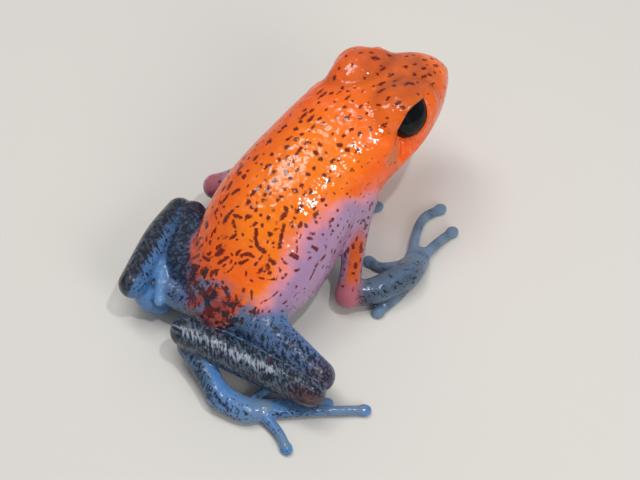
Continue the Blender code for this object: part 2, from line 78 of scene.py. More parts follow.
# Trunk and head: forward, left, up of the centre line, half width, height above and below it
VENT_TIP = (-0.7, -0.1, 2.2)
TRUNK = (
    (-0.3, -0.1, 2.3, 1.7, 1.05, 0.95),
    (0.8, -0.2, 2.6, 2.85, 1.8, 1.5),
    (2.5, -0.28, 3.15, 3.7, 2.45, 2.15),
    (4.6, -0.1, 3.85, 4.22, 2.95, 2.75),
    (6.8, 0.32, 4.6, 4.28, 3.25, 3.2),
    (9.0, 0.44, 5.35, 4.13, 3.2, 3.2),
    (11.0, 0.38, 6.05, 3.98, 2.95, 2.95),
    (12.8, 0.27, 6.7, 3.9, 2.6, 2.65),
    (14.4, -0.02, 7.2, 3.9, 2.4, 2.35),
    (16.2, -0.42, 7.6, 3.58, 2.15, 2.05),
    (17.9, -0.74, 7.8, 2.9, 1.9, 1.8),
    (19.3, -0.97, 7.8, 2.07, 1.55, 1.55),
    (20.2, -1.15, 7.75, 1.36, 1.08, 1.17),
    (20.68, -1.245, 7.68, 0.78, 0.6, 0.68),
)
SNOUT_TIP = (20.85, -1.27, 7.65)
SQUARENESS = 2.25
HEAD_YAW = math.radians(-12.0)
EYE_LINE = (16.15, -0.12, 8.75)
EYE_SIDE = 1.95
EYE_DROP = 0.35
DOME_SIDE = 2.05
DOME_RADII = (2.15, 1.62, 1.36)
GAZE_FORWARD = math.radians(-8.0)
GAZE_UP = math.radians(27.0)
# The head leans a little to its left, so the right eye looks higher
GAZE_LEAN = math.radians(7.0)

ARM_RIGHT = {
    "upper": ((10.6, -2.85, 5.2), (9.75, -3.45, 4.2), (8.375, -4.2, 2.7), (7.0, -4.95, 1.2)),
    "forearm": ((7.0, -4.95, 1.2), (8.55, -6.05, 1.05), (10.6, -6.7, 0.95), (11.95, -6.42, 0.49)),
    "hand": ((8.55, -6.05, 1.05), (10.6, -6.7, 0.95), (11.95, -6.42, 0.49), (12.74, -6.19, 0.46)),
    "digits": (
        ((11.4, -5.9, 0.46), (10.47, -4.95, 0.42), (10.42, -4.0, 0.24)),
        ((12.4, -5.85, 0.46), (13.93, -5.02, 0.42), (15.33, -4.6, 0.38), (16.64, -4.92, 0.24)),
        ((12.5, -6.5, 0.46), (14.1, -6.49, 0.42), (15.63, -6.64, 0.24)),
        ((11.4, -6.95, 0.4), (9.6, -7.05, 0.3), (7.73, -6.82, 0.24)),
    ),
}
ARM_LEFT = {
    "upper": ((10.7, 3.0, 5.2), (10.2, 3.7, 4.4), (8.95, 5.1, 3.28), (7.7, 6.5, 2.15)),
    "forearm": ((7.7, 6.5, 2.15), (8.9, 5.3, 1.65), (11.0, 3.05, 0.85), (12.0, 1.7, 0.49)),
    "hand": ((8.9, 5.3, 1.65), (11.0, 3.05, 0.85), (12.0, 1.7, 0.49), (12.5, 0.9, 0.46)),
    "digits": (
        ((11.4, 1.4, 0.46), (10.7, 0.5, 0.42), (10.4, -0.5, 0.24)),
        ((12.2, 0.9, 0.46), (12.8, -0.1, 0.42), (13.4, -1.0, 0.38), (14.2, -1.6, 0.24)),
        ((12.6, 1.2, 0.46), (14.1, 0.9, 0.42), (15.4, 0.4, 0.24)),
        ((12.2, 2.1, 0.46), (13.0, 2.9, 0.42), (13.7, 3.8, 0.24)),
    ),
}
UPPER_ARM_RADII = (1.0, 0.76, 0.66, 0.76)
FOREARM_RADII = (0.76, 0.84, 0.8, 0.55)
HAND_RADII = (0.84, 0.8, 0.86, 0.58)
HAND_FLATNESS = 0.62
FINGER_DISC = (0.46, 0.4, 0.28)

LEG_RIGHT = {
    "thigh": ((1.6, -2.0, 2.85), (1.05, -3.45, 2.7), (0.9825, -5.3625, 2.4525), (0.9, -7.7, 2.15)),
    "shank": ((-0.15, -7.9, 1.95), (-1.1, -3.7, 2.2), (-1.95, 0.3, 2.45)),
    "tarsus": ((-2.15, -0.12, 1.5), (-2.65, -1.8, 1.25), (-3.35, -3.55, 0.95)),
    "foot": ((-3.35, -3.55, 0.95), (-2.9, -5.27, 0.58), (-2.15, -6.0, 0.55)),
    "digits": (
        ((-2.4, -5.2, 0.5), (-1.6, -5.15, 0.46), (-0.7, -5.2, 0.24)),
        ((-2.3, -5.6, 0.5), (-1.5, -6.1, 0.46), (-0.8, -6.9, 0.24)),
        ((-2.2, -6.0, 0.46), (-0.75, -7.2, 0.42), (0.6, -8.5, 0.24)),
        ((-2.2, -6.3, 0.46), (-0.2, -8.5, 0.42), (1.67, -10.51, 0.24)),
        ((-2.5, -6.4, 0.46), (-2.79, -7.7, 0.42), (-3.21, -8.6, 0.24)),
    ),
}
LEG_LEFT = {
    "thigh": ((1.4, 2.0, 2.8), (1.75, 3.5, 2.65), (3.2125, 4.67, 2.4025), (5.0, 6.1, 2.1)),
    "shank": ((4.8, 7.0, 1.95), (2.2, 6.25, 2.4), (-1.55, 4.9, 2.85)),
    "tarsus": ((-1.2, 4.35, 1.85), (-1.1, 4.1, 1.35), (-0.6, 3.75, 0.95)),
    "foot": ((-0.6, 3.75, 0.95), (1.5, 3.8, 0.56), (2.6, 3.95, 0.46)),
    "digits": (
        ((2.0, 3.4, 0.46), (2.8, 2.7, 0.4), (3.5, 2.2, 0.24)),
        ((2.4, 3.6, 0.46), (3.7, 3.1, 0.38), (4.8, 2.9, 0.24)),
        ((2.6, 3.9, 0.44), (4.5, 4.0, 0.36), (6.1, 4.1, 0.24)),
        ((2.6, 4.2, 0.44), (4.9, 5.0, 0.36), (7.0, 5.5, 0.24)),
        ((2.4, 4.4, 0.46), (3.4, 5.7, 0.38), (4.2, 6.7, 0.24)),
    ),
}
THIGH_RADII = (1.25, 1.32, 1.15, 0.96)
SHANK_RADII = (0.92, 1.02, 0.9)
TARSUS_RADII = (0.73, 0.72, 0.74)
FOOT_RADII = (0.74, 0.8, 0.55)
FOOT_FLATNESS = 0.8
TOE_DISC = (0.44, 0.38, 0.28)
DIGIT_RADIUS = 0.3
DIGIT_ROOT_RADIUS = 1.15 * DIGIT_RADIUS
FOLD_LEFT = ((1.9, 5.3, 2.0), (0.9, 4.3, 2.05), (-0.1, 3.1, 2.1), (0.1, 1.6, 2.2))
FOLD_LEFT_RADII = (0.7, 0.85, 0.85, 0.9)
FOLD_RIGHT = ((0.7, -3.2, 2.1), (0.2, -1.6, 2.15), (0.1, 0.0, 2.1))
FOLD_RIGHT_RADII = (0.75, 0.85, 0.8)
RIDGE_LEFT = ((0.75, 4.5, 2.75), (-0.2, 3.85, 2.6), (-1.15, 3.15, 2.2))
RIDGE_RADII = (0.3, 0.4, 0.35)
# A limb's forms: name, row of its table, radii, flatness and how softly each melts in
ARM_PARTS = (
    ("upper_arm", "upper", UPPER_ARM_RADII, 1.0, 0.7),
    ("forearm", "forearm", FOREARM_RADII, 1.0, 0.3),
    ("hand", "hand", HAND_RADII, HAND_FLATNESS, 0.25),
)
LEG_PARTS = (
    ("thigh", "thigh", THIGH_RADII, 1.0, 0.8),
    ("shank", "shank", SHANK_RADII, 1.0, 0.14),
    ("tarsus", "tarsus", TARSUS_RADII, 1.0, 0.2),
    ("foot", "foot", FOOT_RADII, FOOT_FLATNESS, 0.3),
)
CURVE_STEPS = 8

# Distance along the trunk and angle above its widest line
NOSTRIL = (20.6, math.radians(24.0))
EARDRUM = (14.9, math.radians(14.0))
EYE_FORWARD = 0.18
LID_THICKNESS = 0.09
LID_REACH = 2.6
# The lids' opening is centred this far along and above the gaze, as shares of the eyeball
OPENING_CENTRE = (-0.03, -0.12)
# The opening's rear end is this round, where its front end has 1 and is pointed
OPENING_ROUNDNESS = 2.4
# The left eye's upper lid opens by this share of the right one's
LEFT_LID_SHARE = 0.6
# The mouth is where a plane that climbs towards the snout meets the skin
MOUTH_CORNER = 14.9
MOUTH_HEIGHT = 6.17
MOUTH_CLIMB = 0.189
# Grooves and ridges of the skin: height, distance from their middle, and width
MOUTH_FOLDS = ((-0.13, 0.0, 0.07), (0.07, 0.2, 0.13), (0.04, -0.2, 0.13))
NOSTRIL_FOLDS = ((0.03, 0.24, 0.09), (-0.14, 0.0, 0.12))
DOME_FOLDS = ((-0.035, 0.28, 0.18),)
LID_FOLDS = ((0.05, 0.09, 0.09), (-0.04, 0.45, 0.12))
EARDRUM_RADIUS = 0.5
EARDRUM_FOLDS = ((0.04, EARDRUM_RADIUS, 0.12),)
EARDRUM_DEPTH = 0.06
# The groove round each dome starts between these heights
DOME_FOLD_HEIGHTS = (8.2, 8.8)

# The flank turns pink this many degrees from the top, at distances along the trunk
PINK_EDGE = ((0.0, 2.0, 6.0, 8.9, 10.2, 11.4), (56.0, 41.0, 28.0, 42.0, 46.0, 72.0))
LEFT_PINK_EDGE = 84.0
# The arm's orange band lies this many degrees outward of its top
ARM_FACE = 22.0
# The back's larger marks: distances along the trunk and degrees from its top
LONG_MARKS = (
    ((5.61, -0.5), (5.04, -5.0), (4.73, -10.5), (4.73, -16.5)),
    ((6.5, -19.0), (5.92, -21.0), (5.3, -24.5)),
    ((3.89, -2.0), (4.15, -6.0), (4.15, -10.5)),
    ((7.69, -25.0), (8.26, -26.5)),
    ((5.3, -35.5), (5.3, -42.0)),
    ((6.19, -48.5), (6.19, -54.0)),
    ((5.92, -64.5), (6.19, -66.0)),
    ((4.46, -24.0), (4.46, -29.0)),
    ((3.89, -30.5), (3.89, -31.0)),
    ((7.11, 33.0), (7.38, 28.5)),
    ((10.83, 3.0), (11.36, 4.0)),
    ((5.92, 22.0), (5.92, 16.0)),
    ((7.38, 15.5), (8.0, 12.0)),
    ((7.69, 5.0), (8.26, 5.0)),
    ((2.83, 14.0), (3.36, 9.0)),
    ((2.61, 35.0), (2.61, 26.0)),
    ((8.57, -55.0), (8.88, -56.5)),
)
LONG_MARK_WIDTH = 0.11
# The common specks shrink to nothing within this distance of a mark
MARK_MARGIN = 0.25
# Two layers of common specks: stretch along and round, share of places that hold one, and size
SPECK_LAYERS = (((1.0, 1.0), 0.8, 1.0), ((0.55, 1.15), 0.5, 0.95))
SEED = 7
# Each step of the seed moves the specks' pattern by this many millimetres
SEED_SHIFT = 100.0
# A limb's streaks are laid round it as if this were its radius everywhere
STREAK_RADIUS = 0.9
# The mesh is made finer this near to the mouth and the lids' edges, and to a mark
FINE_MARGIN = 0.3
MARK_FINE_MARGIN = 0.15
LID_FINE_REACH = 2.3
# Distances are told apart up to this many millimetres
FAR = 3.0
TINY = 1e-9
# Places are measured from the trunk in lots of about this many
CHUNK = 20000
SHELL_SIDES = 12
TRUNK_SIDES = 48

CAMERA_TURN = (math.radians(219.5), math.radians(53.0))
CAMERA_PLACE = (-37.588, 35.274, 77.656)
CAMERA_LENS = 85.0
FLOOR_SIZE = 0.6
AIM = (0.0, 0.0, 0.004)
# Name, place, size in metres, power in watts and whether its reflection shows
LAMPS = (
    ("key", (0.01, 0.0, 0.14), 0.06, 0.04, False),
    ("soft", (0.067, -0.003, 0.149), 0.05, 0.05, True),
    ("flash", (-0.045, -0.006, 0.145), 0.006, 0.045, True),
    ("fill", (-0.16, 0.04, 0.10), 0.10, 0.11, False),
    ("rim", (0.12, -0.14, 0.08), 0.10, 0.04, False),
)
WORLD_COLOUR = (0.9, 0.93, 1.0, 1.0)
WORLD_STRENGTH = 0.3


def catmull_rom(values, steps):
    """Smooth rows through the given rows, steps for each stretch, with both ends kept."""
    rows = np.array(values, float)
    padded = np.vstack((2 * rows[0] - rows[1], rows, 2 * rows[-1] - rows[-2]))
    t = (np.arange(steps) / steps)[:, None]
    smooth = []
    for before, start, end, after in zip(padded, padded[1:], padded[2:], padded[3:]):
        bend = 2 * before - 5 * start + 4 * end - after
        twist = 3 * start - before - 3 * end + after
        smooth.append(0.5 * (2 * start + (end - before) * t + bend * t**2 + twist * t**3))
    return np.vstack((*smooth, rows[-1]))


def unit(rows):
    """The same directions at a length of one."""
    return rows / np.linalg.norm(rows, axis=-1, keepdims=True)


def turns(count):
    """Cosines and sines of evenly spaced angles of a full turn."""
    turn = np.arange(count) * math.tau / count
    return np.cos(turn), np.sin(turn)


def squarish(values):
    """Cosines or sines bent so that they draw a squarish section."""
    return np.sign(values) * np.abs(values) ** (2 / SQUARENESS)


def plan_to_world(places):
    """Plan places as millimetres along the world's axes, still from under the vent."""
    forward, left, up = np.moveaxis(np.array(places, float), -1, 0)
    return np.stack((left, -forward, up), axis=-1)


def head_axes():
    """Rows: the head's forward, left and up along the world's axes."""
    sine, cosine = math.sin(HEAD_YAW), math.cos(HEAD_YAW)
    return np.array(((sine, -cosine, 0.0), (cosine, sine, 0.0), (0.0, 0.0, 1.0)))


def head_place(forward, left, up):
    """A place by its distances from the eyes' line along the head's axes."""
    return plan_to_world(EYE_LINE) + np.array((forward, left, up)) @ head_axes()


def gaze_axes(side):
    """Rows: along the eye's length, up and out of the head."""
    rise = GAZE_UP - side * GAZE_LEAN
    out = np.array((math.sin(GAZE_FORWARD), side * math.cos(GAZE_FORWARD), math.sin(rise)))
    out = unit(out @ head_axes())
    along = unit(head_axes()[0] - out * (head_axes()[0] @ out))
    return np.array((along, np.cross(along, out) * side, out))


def ball_place(side):
    """The eye's place, that its opening is measured from."""
    return head_place(0.0, side * EYE_SIDE, -EYE_DROP)


def frame_shift():
    """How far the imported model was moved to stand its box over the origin, from its right eye."""
    low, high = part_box("eye_right")
    middle = np.array((low + high) / 2) / MM
    return middle - ball_place(-1)


class Limb:
    """A round form along a curve, with a radius at each place. A flat one is thinner in height."""

    def __init__(self, places, radii, flat=1.0):
        rows = catmull_rom(np.column_stack((plan_to_world(places), radii)), CURVE_STEPS)
        self.line = rows[:, :3]
        self.radii = rows[:, 3]
        self.flat = flat
        self.length = np.sum(np.linalg.norm(np.diff(self.line, axis=0), axis=1))

    def measure(self, points):
        """Distance from the form's surface, and how far along it as a share, for each point."""
        reach = self.radii.max() + FAR
        near = np.all((points > self.line.min(0) - reach) & (points < self.line.max(0) + reach), axis=1)
        distance = np.full(len(points), FAR)
        share = np.zeros(len(points))
        close = points[near]
        best = np.full(len(close), FAR)
        place = np.zeros(len(close))
        for i in range(len(self.line) - 1):
            axis = self.line[i + 1] - self.line[i]
            offset = close - self.line[i]
            t = np.clip(offset @ axis / (axis @ axis), 0, 1)
            offset -= t[:, None] * axis
            size = np.linalg.norm(offset / (1, 1, self.flat), axis=1) + TINY
            radius = self.radii[i] + (self.radii[i + 1] - self.radii[i]) * t
            measured = (size - radius) * np.linalg.norm(offset, axis=1) / size
            better = measured < best
            best[better] = measured[better]
            place[better] = (i + t[better]) / (len(self.line) - 1)
        distance[near] = best
        share[near] = place
        return distance, share

    def turn(self, points, share):
        """Degrees round the form from its top, positive towards the left of its run."""
        place = share * (len(self.line) - 1)
        index = np.arange(len(self.line))
        here, ahead = (
            np.column_stack([np.interp(place, index, column) for column in rows.T])
            for rows in (self.line, np.gradient(self.line, axis=0))
        )
        side = unit(np.cross(UP, ahead))
        up = unit(np.cross(ahead, side))
        offset = points - here
        across = np.sum(offset * side, axis=1)
        above = np.sum(offset * up, axis=1)
        return np.degrees(np.arctan2(across, above))

    def shell(self):
        """Rings of a closed mesh of the form, with both of its poles."""
        tangents = unit(np.gradient(self.line, axis=0))
        sides = unit(np.cross(UP, tangents))
        ups = np.cross(tangents, sides) * self.flat
        cosine, sine = turns(SHELL_SIDES)
        circle = sides[:, None] * cosine[:, None] + ups[:, None] * sine[:, None]
        rings = self.line[:, None] + circle * self.radii[:, None, None]
        ends = (
            self.line[0] - tangents[0] * self.radii[0],
            self.line[-1] + tangents[-1] * self.radii[-1],
        )
        return rings, ends


class Ellipsoid:
    """An ellipsoid at a place, with radii along the rows of its axes."""

    def __init__(self, centre, radii, axes):
        self.centre = centre
        self.radii = np.array(radii)
        self.axes = axes
        self.length = 2 * radii[0]

    def turn(self, points, share):
        """No turn is told apart round an ellipsoid."""
        return 0 * share

    def measure(self, points):
        """Distance from the surface for each point, and a share of 0."""
        offset = (points - self.centre) @ self.axes.T
        size = np.linalg.norm(offset / self.radii, axis=1) + TINY
        return (size - 1) * np.linalg.norm(offset, axis=1) / size, np.zeros(len(points))

    def shell(self):
        """Rings and poles of a closed mesh."""
        rise = (np.linspace(-1, 1, SHELL_SIDES)[1:-1] * math.pi / 2)[:, None]
        cosine, sine = turns(SHELL_SIDES)
        level = np.cos(rise)
        rings = np.stack((level * cosine, level * sine, np.sin(rise) + 0 * cosine), axis=-1)
        pole = self.axes[2] * self.radii[2]
        return self.centre + (rings * self.radii) @ self.axes, (self.centre - pole, self.centre + pole)


class Trunk:
    """The body from vent to snout: squarish sections along a bent line."""

    def __init__(self):
        rows = catmull_rom(TRUNK, CURVE_STEPS)
        self.line = plan_to_world(rows[:, :3])
        self.radii = rows[:, 3:]
        self.tips = plan_to_world((VENT_TIP, SNOUT_TIP))
        ends = np.vstack((self.tips[0], self.line, self.tips[1]))
        self.tangents = unit(ends[2:] - ends[:-2])
        self.sides = unit(np.cross(UP, self.tangents))
        self.ups = np.cross(self.tangents, self.sides)
        steps = np.linalg.norm(np.diff(self.line, axis=0), axis=1)
        self.stations = np.concatenate(((0,), np.cumsum(steps)))

    def locate(self, points):
        """For each point: distance along, across and above the line, the radii there, and beyond an end."""
        found = []
        for part in np.array_split(points, max(1, len(points) // CHUNK)):
            ahead = part @ self.tangents.T - np.sum(self.line * self.tangents, axis=1)
            first = np.argmin(np.abs(ahead), axis=1)
            rows = np.arange(len(part))
            here = ahead[rows, first]
            last = len(self.line) - 1
            second = np.clip(first + np.where(here > 0, 1, -1), 0, last)
            there = ahead[rows, second]
            spread = here - there
            t = np.where(second == first, 0, here / np.where(np.abs(spread) < TINY, 1, spread))
            t = np.clip(t, 0, 1)[:, None]

            def mixed(values):
                return values[first] * (1 - t) + values[second] * t

            offset = part - mixed(self.line)
            across = np.sum(offset * mixed(self.sides), axis=1)
            above = np.sum(offset * mixed(self.ups), axis=1)
            beyond = np.where(second == first, np.abs(here), 0)
            along = (self.stations[first] * (1 - t[:, 0])) + self.stations[second] * t[:, 0]
            at_front = first > last // 2
            found.append(np.column_stack((along, across, above, mixed(self.radii), beyond, at_front)))
        return np.vstack(found)

    def measure(self, points):
        """Distance from the surface and how far along in millimetres, for each point."""
        along, across, above, wide, high, low, beyond, at_front = self.locate(points).T
        caps = [np.linalg.norm(tip - end) for tip, end in zip(self.tips, (self.line[0], self.line[-1]))]
        cap = np.where(at_front > 0, caps[1], caps[0])
        tall = np.where(above > 0, high, low)
        reach = np.stack((wide, tall, cap))
        parts = np.abs(np.stack((across, above, beyond))) / reach + TINY
        size = np.sum(parts**SQUARENESS, axis=0) ** (1 / SQUARENESS)
        slope = np.linalg.norm((parts / size) ** (SQUARENESS - 1) / reach, axis=0)
        return (size - 1) / slope, along

    def place(self, station, angle, side):
        """A place on the skin of one side, at an angle above the trunk's widest line."""
        index = int(np.argmin(np.abs(self.stations - station)))
        wide, high, low = self.radii[index]
        cosine, sine = side * math.cos(angle), math.sin(angle)
        across = wide * squarish(cosine)
        rise = (high if sine > 0 else low) * squarish(sine)
        return self.line[index] + self.sides[index] * across + self.ups[index] * rise

    def shell(self):
        """Rings and poles of a closed mesh."""
        across, rise = (squarish(values) for values in turns(TRUNK_SIDES))
        wide, high, low = (column[:, None] for column in self.radii.T)
        tall = np.where(rise > 0, high, low)
        rings = (
            self.line[:, None]
            + self.sides[:, None] * (wide * across)[:, :, None]
            + self.ups[:, None] * (tall * rise)[:, :, None]
        )
        return rings, self.tips


def limb_forms(word, limb, parts, disc):
    """Name, form and how softly it melts into what comes before it, for a limb and its digits."""
    forms = [(f"{zone}_{word}", Limb(limb[row], radii, flat), soft) for zone, row, radii, flat, soft in parts]
    return forms + digit_forms(forms[-1][0], limb["digits"], disc)


def fold_forms():
    """Skin that the folded legs press together, and the pale ridge on the left heel."""
    return [
        ("fold_left", Limb(FOLD_LEFT, FOLD_LEFT_RADII), 0.3),
        ("fold_right", Limb(FOLD_RIGHT, FOLD_RIGHT_RADII), 0.3),
        ("ridge_left", Limb(RIDGE_LEFT, RIDGE_RADII), 0.12),
    ]


def digit_forms(name, digits, disc):
    """The same for fingers or toes, each with the disc at its tip."""
    forms = []
    for places in digits:
        radii = [DIGIT_ROOT_RADIUS] + [DIGIT_RADIUS] * (len(places) - 1)
        forms.append((name, Limb(places, radii), 0.22))
        line = plan_to_world(places)
        along = unit((line[-1] - line[-2]) * (1, 1, 0))
        axes = np.array((along, np.cross(UP, along), UP))
        forms.append((name, Ellipsoid(line[-1], disc, axes), 0.12))
    return forms


def all_forms():
    """The forms of the whole frog, the trunk first."""
    forms = [("trunk", Trunk(), 0.0)]
    for side in (1, -1):
        dome = Ellipsoid(head_place(0, side * DOME_SIDE, 0), DOME_RADII, head_axes())
        forms.append(("dome", dome, 0.75))
    for word, arm in (("right", ARM_RIGHT), ("left", ARM_LEFT)):
        forms += limb_forms(word, arm, ARM_PARTS, FINGER_DISC)
    for word, leg in (("right", LEG_RIGHT), ("left", LEG_LEFT)):
        forms += limb_forms(word, leg, LEG_PARTS, TOE_DISC)
    return forms + fold_forms()


def melted(first, second, softness):
    """The nearer of two distances, rounded where they are alike."""
    if softness == 0:
        return np.minimum(first, second)
    overlap = np.clip(softness - np.abs(first - second), 0, None) / softness
    return np.minimum(first, second) - overlap**2 * softness / 4


def body_distance(points, forms):
    """Distance of each point from the whole body's surface."""
    whole = np.full(len(points), FAR)
    for _, form, softness in forms:
        whole = melted(whole, form.measure(points)[0], softness)
    return whole


def domes(forms):
    """The forms over the two eyes."""
    return [form for name, form, _ in forms if name == "dome"]


def smooth_step(low, high, values):
    """0 below low, 1 above high, smooth between. It falls where low is above high."""
    t = np.clip((values - low) / (high - low), 0, 1)
    return t * t * (3 - 2 * t)


def bell(values, width):
    """1 at 0, falling to both sides."""
    return np.exp(-((values / width) ** 2))


def blended(first, second, share):
    """Rows of the first colour turned towards the second by a share each."""
    share = np.clip(share, 0, 1)[:, None]
    return np.asarray(first) * (1 - share) + np.asarray(second) * share


def folded(distance, folds):
    """Height of the grooves and ridges at a distance from their line."""
    return sum(height * bell(distance - away, width) for height, away, width in folds)


def gap_to(places, place):
    """Distance of each place from one place."""
    return np.linalg.norm(places - place, axis=1)


def linked(name, data):
    """A new object with the data, in the scene."""
    made = bpy.data.objects.new(name, data)
    bpy.context.scene.collection.objects.link(made)
    return made


def mesh_of(bm, name, material):
    """The finished mesh of a bmesh, with its material."""
    mesh = bpy.data.meshes.new(name)
    bm.to_mesh(mesh)
    bm.free()
    mesh.materials.append(material)
    return mesh


def rough_union(forms, voxel):
    """One closed mesh round all the forms, in millimetres, as even quads."""
    verts = []
    faces = []
    for _, form, _ in forms:
        rings, ends = form.shell()
        start = len(verts)
        count = rings.shape[1]
        verts += [tuple(place) for place in rings.reshape(-1, 3)]
        first_pole = len(verts)
        verts += [tuple(ends[0]), tuple(ends[1])]
        for ring in range(len(rings) - 1):
            for i in range(count):
                j = (i + 1) % count
                low, high = start + ring * count, start + (ring + 1) * count
                faces.append((low + i, low + j, high + j, high + i))
        last = start + (len(rings) - 1) * count
        for i in range(count):
            j = (i + 1) % count
            faces.append((first_pole, start + j, start + i))
            faces.append((first_pole + 1, last + i, last + j))
    mesh = bpy.data.meshes.new("rough")
    mesh.from_pydata(verts, [], faces)
    rough = linked("rough", mesh)
    remesh = rough.modifiers.new("Union", "REMESH")
    remesh.mode = "VOXEL"
    remesh.voxel_size = voxel
    remesh.adaptivity = 0.0
    graph = bpy.context.evaluated_depsgraph_get()
    union = bpy.data.meshes.new_from_object(rough.evaluated_get(graph))
    bpy.data.objects.remove(rough)
    bpy.data.meshes.remove(mesh)
    return union


def read_rows(items, field, width, kind=float):
    """A field of all the items, as one row each."""
    values = np.empty(len(items) * width, kind)
    items.foreach_get(field, values)
    return values.reshape(-1, width)


def read_places(mesh):
    """The places of the mesh's vertices."""
    return read_rows(mesh.vertices, "co", 3)


def write_places(mesh, places):
    """Moves the mesh's vertices to the places."""
    mesh.vertices.foreach_set("co", places.ravel())
    mesh.update()


def neighbour_mean(values, ends, count):
    """The mean of each vertex's neighbours."""
    total = np.zeros((count, values.shape[1]))
    share = np.zeros(count)
    for here, there in ((0, 1), (1, 0)):
        for column in range(values.shape[1]):
            total[:, column] += np.bincount(ends[:, here], values[ends[:, there], column], count)
        share += np.bincount(ends[:, here], minlength=count)
    return total / np.maximum(share, 1)[:, None]


def refine(mesh, wanted):
    """Halves the faces whose corners are all wanted."""
    bm = bmesh.new()
    bm.from_mesh(mesh)
    bm.verts.ensure_lookup_table()
    edges = [edge for edge in bm.edges if wanted[edge.verts[0].index] and wanted[edge.verts[1].index]]
    bmesh.ops.subdivide_edges(bm, edges=edges, cuts=1, use_grid_fill=True)
    bmesh.ops.triangulate(bm, faces=[face for face in bm.faces if len(face.verts) > 4])
    bm.to_mesh(mesh)
    bm.free()


def settle(mesh, forms, rounds):
    """Moves the mesh onto the melted surface of the forms."""
    for _ in range(rounds):
        places = read_places(mesh)
        places -= read_rows(mesh.vertex_normals, "vector", 3) * body_distance(places, forms)[:, None]
        write_places(mesh, places)
        ends = read_rows(mesh.edges, "vertices", 2, int)
        mean = neighbour_mean(places, ends, len(places))
        normals = read_rows(mesh.vertex_normals, "vector", 3)
        drift = mean - places
        drift -= normals * np.sum(drift * normals, axis=1)[:, None]
        write_places(mesh, places + drift * 0.5)


def mouth_gap(places):
    """For each place: how far forward it is, and its height above the mouth's plane."""
    forward = -places[:, 1]
    return forward, places[:, 2] - (MOUTH_HEIGHT + MOUTH_CLIMB * (forward - MOUTH_CORNER))


def eye_opening(points, side, sizes):
    """Where each point lies from the opening between one eye's lids.

    Gives its distance from the opening's edge, negative inside, its offset and distance
    from the eye's place, and the eyeball's own distance in that direction.
    """
    offset = points - ball_place(side)
    reach = np.linalg.norm(offset, axis=1)
    along, up, out = gaze_axes(side) @ (offset / reach[:, None]).T
    turned = math.radians(sizes.eye_slant)
    along, up = (
        along * math.cos(turned) + up * math.sin(turned) - OPENING_CENTRE[0],
        up * math.cos(turned) - along * math.sin(turned) - OPENING_CENTRE[1],
    )
    half = math.sin(math.radians(sizes.lid_half_length))
    rise = math.sin(math.radians(sizes.upper_lid_open)) * (LEFT_LID_SHARE if side > 0 else 1)
    fall = math.sin(math.radians(sizes.lower_lid_open))
    reach_up = np.where(up > 0, rise, fall)
    power = 1 + (OPENING_ROUNDNESS - 1) * smooth_step(0.3, -0.3, along / half)
    height = np.abs(up) / reach_up + TINY
    size = height**power + (along / half) ** 2 - 1
    slope = np.hypot(power * height ** (power - 1) / reach_up, 2 * along / half**2)
    inside = size / np.maximum(slope, 0.8) * reach + 0.6 * smooth_step(0.45, 0.1, out)
    ball = EYE_FORWARD * out + np.sqrt(sizes.eye_radius**2 - EYE_FORWARD**2 * (1 - out**2))
    ball = ball * smooth_step(-0.4, -0.1, out)
    return np.where((out > 0.0) & (reach < 3.2), inside, FAR), offset, reach, ball


def shape_head(mesh, forms, sizes):
    """Lids, eye openings, mouth, lips, nostrils and eardrums, as moves of the skin."""
    trunk = forms[0][1]
    places = read_places(mesh)
    normals = read_rows(mesh.vertex_normals, "vector", 3)
    forward, plane = mouth_gap(places)
    move = folded(plane, MOUTH_FOLDS) * smooth_step(MOUTH_CORNER - 0.3, MOUTH_CORNER + 0.5, forward)
    for side in (1, -1):
        move += folded(gap_to(places, trunk.place(*NOSTRIL, side)), NOSTRIL_FOLDS)
        gap = gap_to(places, trunk.place(*EARDRUM, side))
        move += folded(gap, EARDRUM_FOLDS) - EARDRUM_DEPTH * smooth_step(EARDRUM_RADIUS, 0.3, gap)
    places += normals * move[:, None]
    for dome in domes(forms):
        dent = folded(dome.measure(places)[0], DOME_FOLDS) * smooth_step(*DOME_FOLD_HEIGHTS, places[:, 2])
        places += normals * dent[:, None]
    for side in (1, -1):
        edge, offset, reach, ball = eye_opening(places, side, sizes)
        around = reach < LID_REACH
        hug = smooth_step(0.5, 0.05, edge) * around
        skin = reach * (1 - hug) + np.minimum(reach, ball + LID_THICKNESS) * hug
        skin = np.where(around, np.maximum(skin, ball + LID_THICKNESS), skin)
        skin += folded(edge, LID_FOLDS) * around
        wall = smooth_step(0.02, -0.08, edge)
        inner = np.minimum(skin, sizes.eye_radius - 0.15)
        target = skin * (1 - wall) + inner * wall
        places += offset / reach[:, None] * (target - reach)[:, None]
    write_places(mesh, places)


def srgb(*values):
    """A colour given as it looks on a screen, from 0 to 255, as the shader's linear one."""
    shares = np.array(values) / 255
    return np.where(shares <= 0.04045, shares / 12.92, ((shares + 0.055) / 1.055) ** 2.4)


def layered(colour, layers):
    """The colour with each layer's colour laid over it by its share."""
    for tint, share in layers:
        colour = blended(colour, tint, share)
    return colour


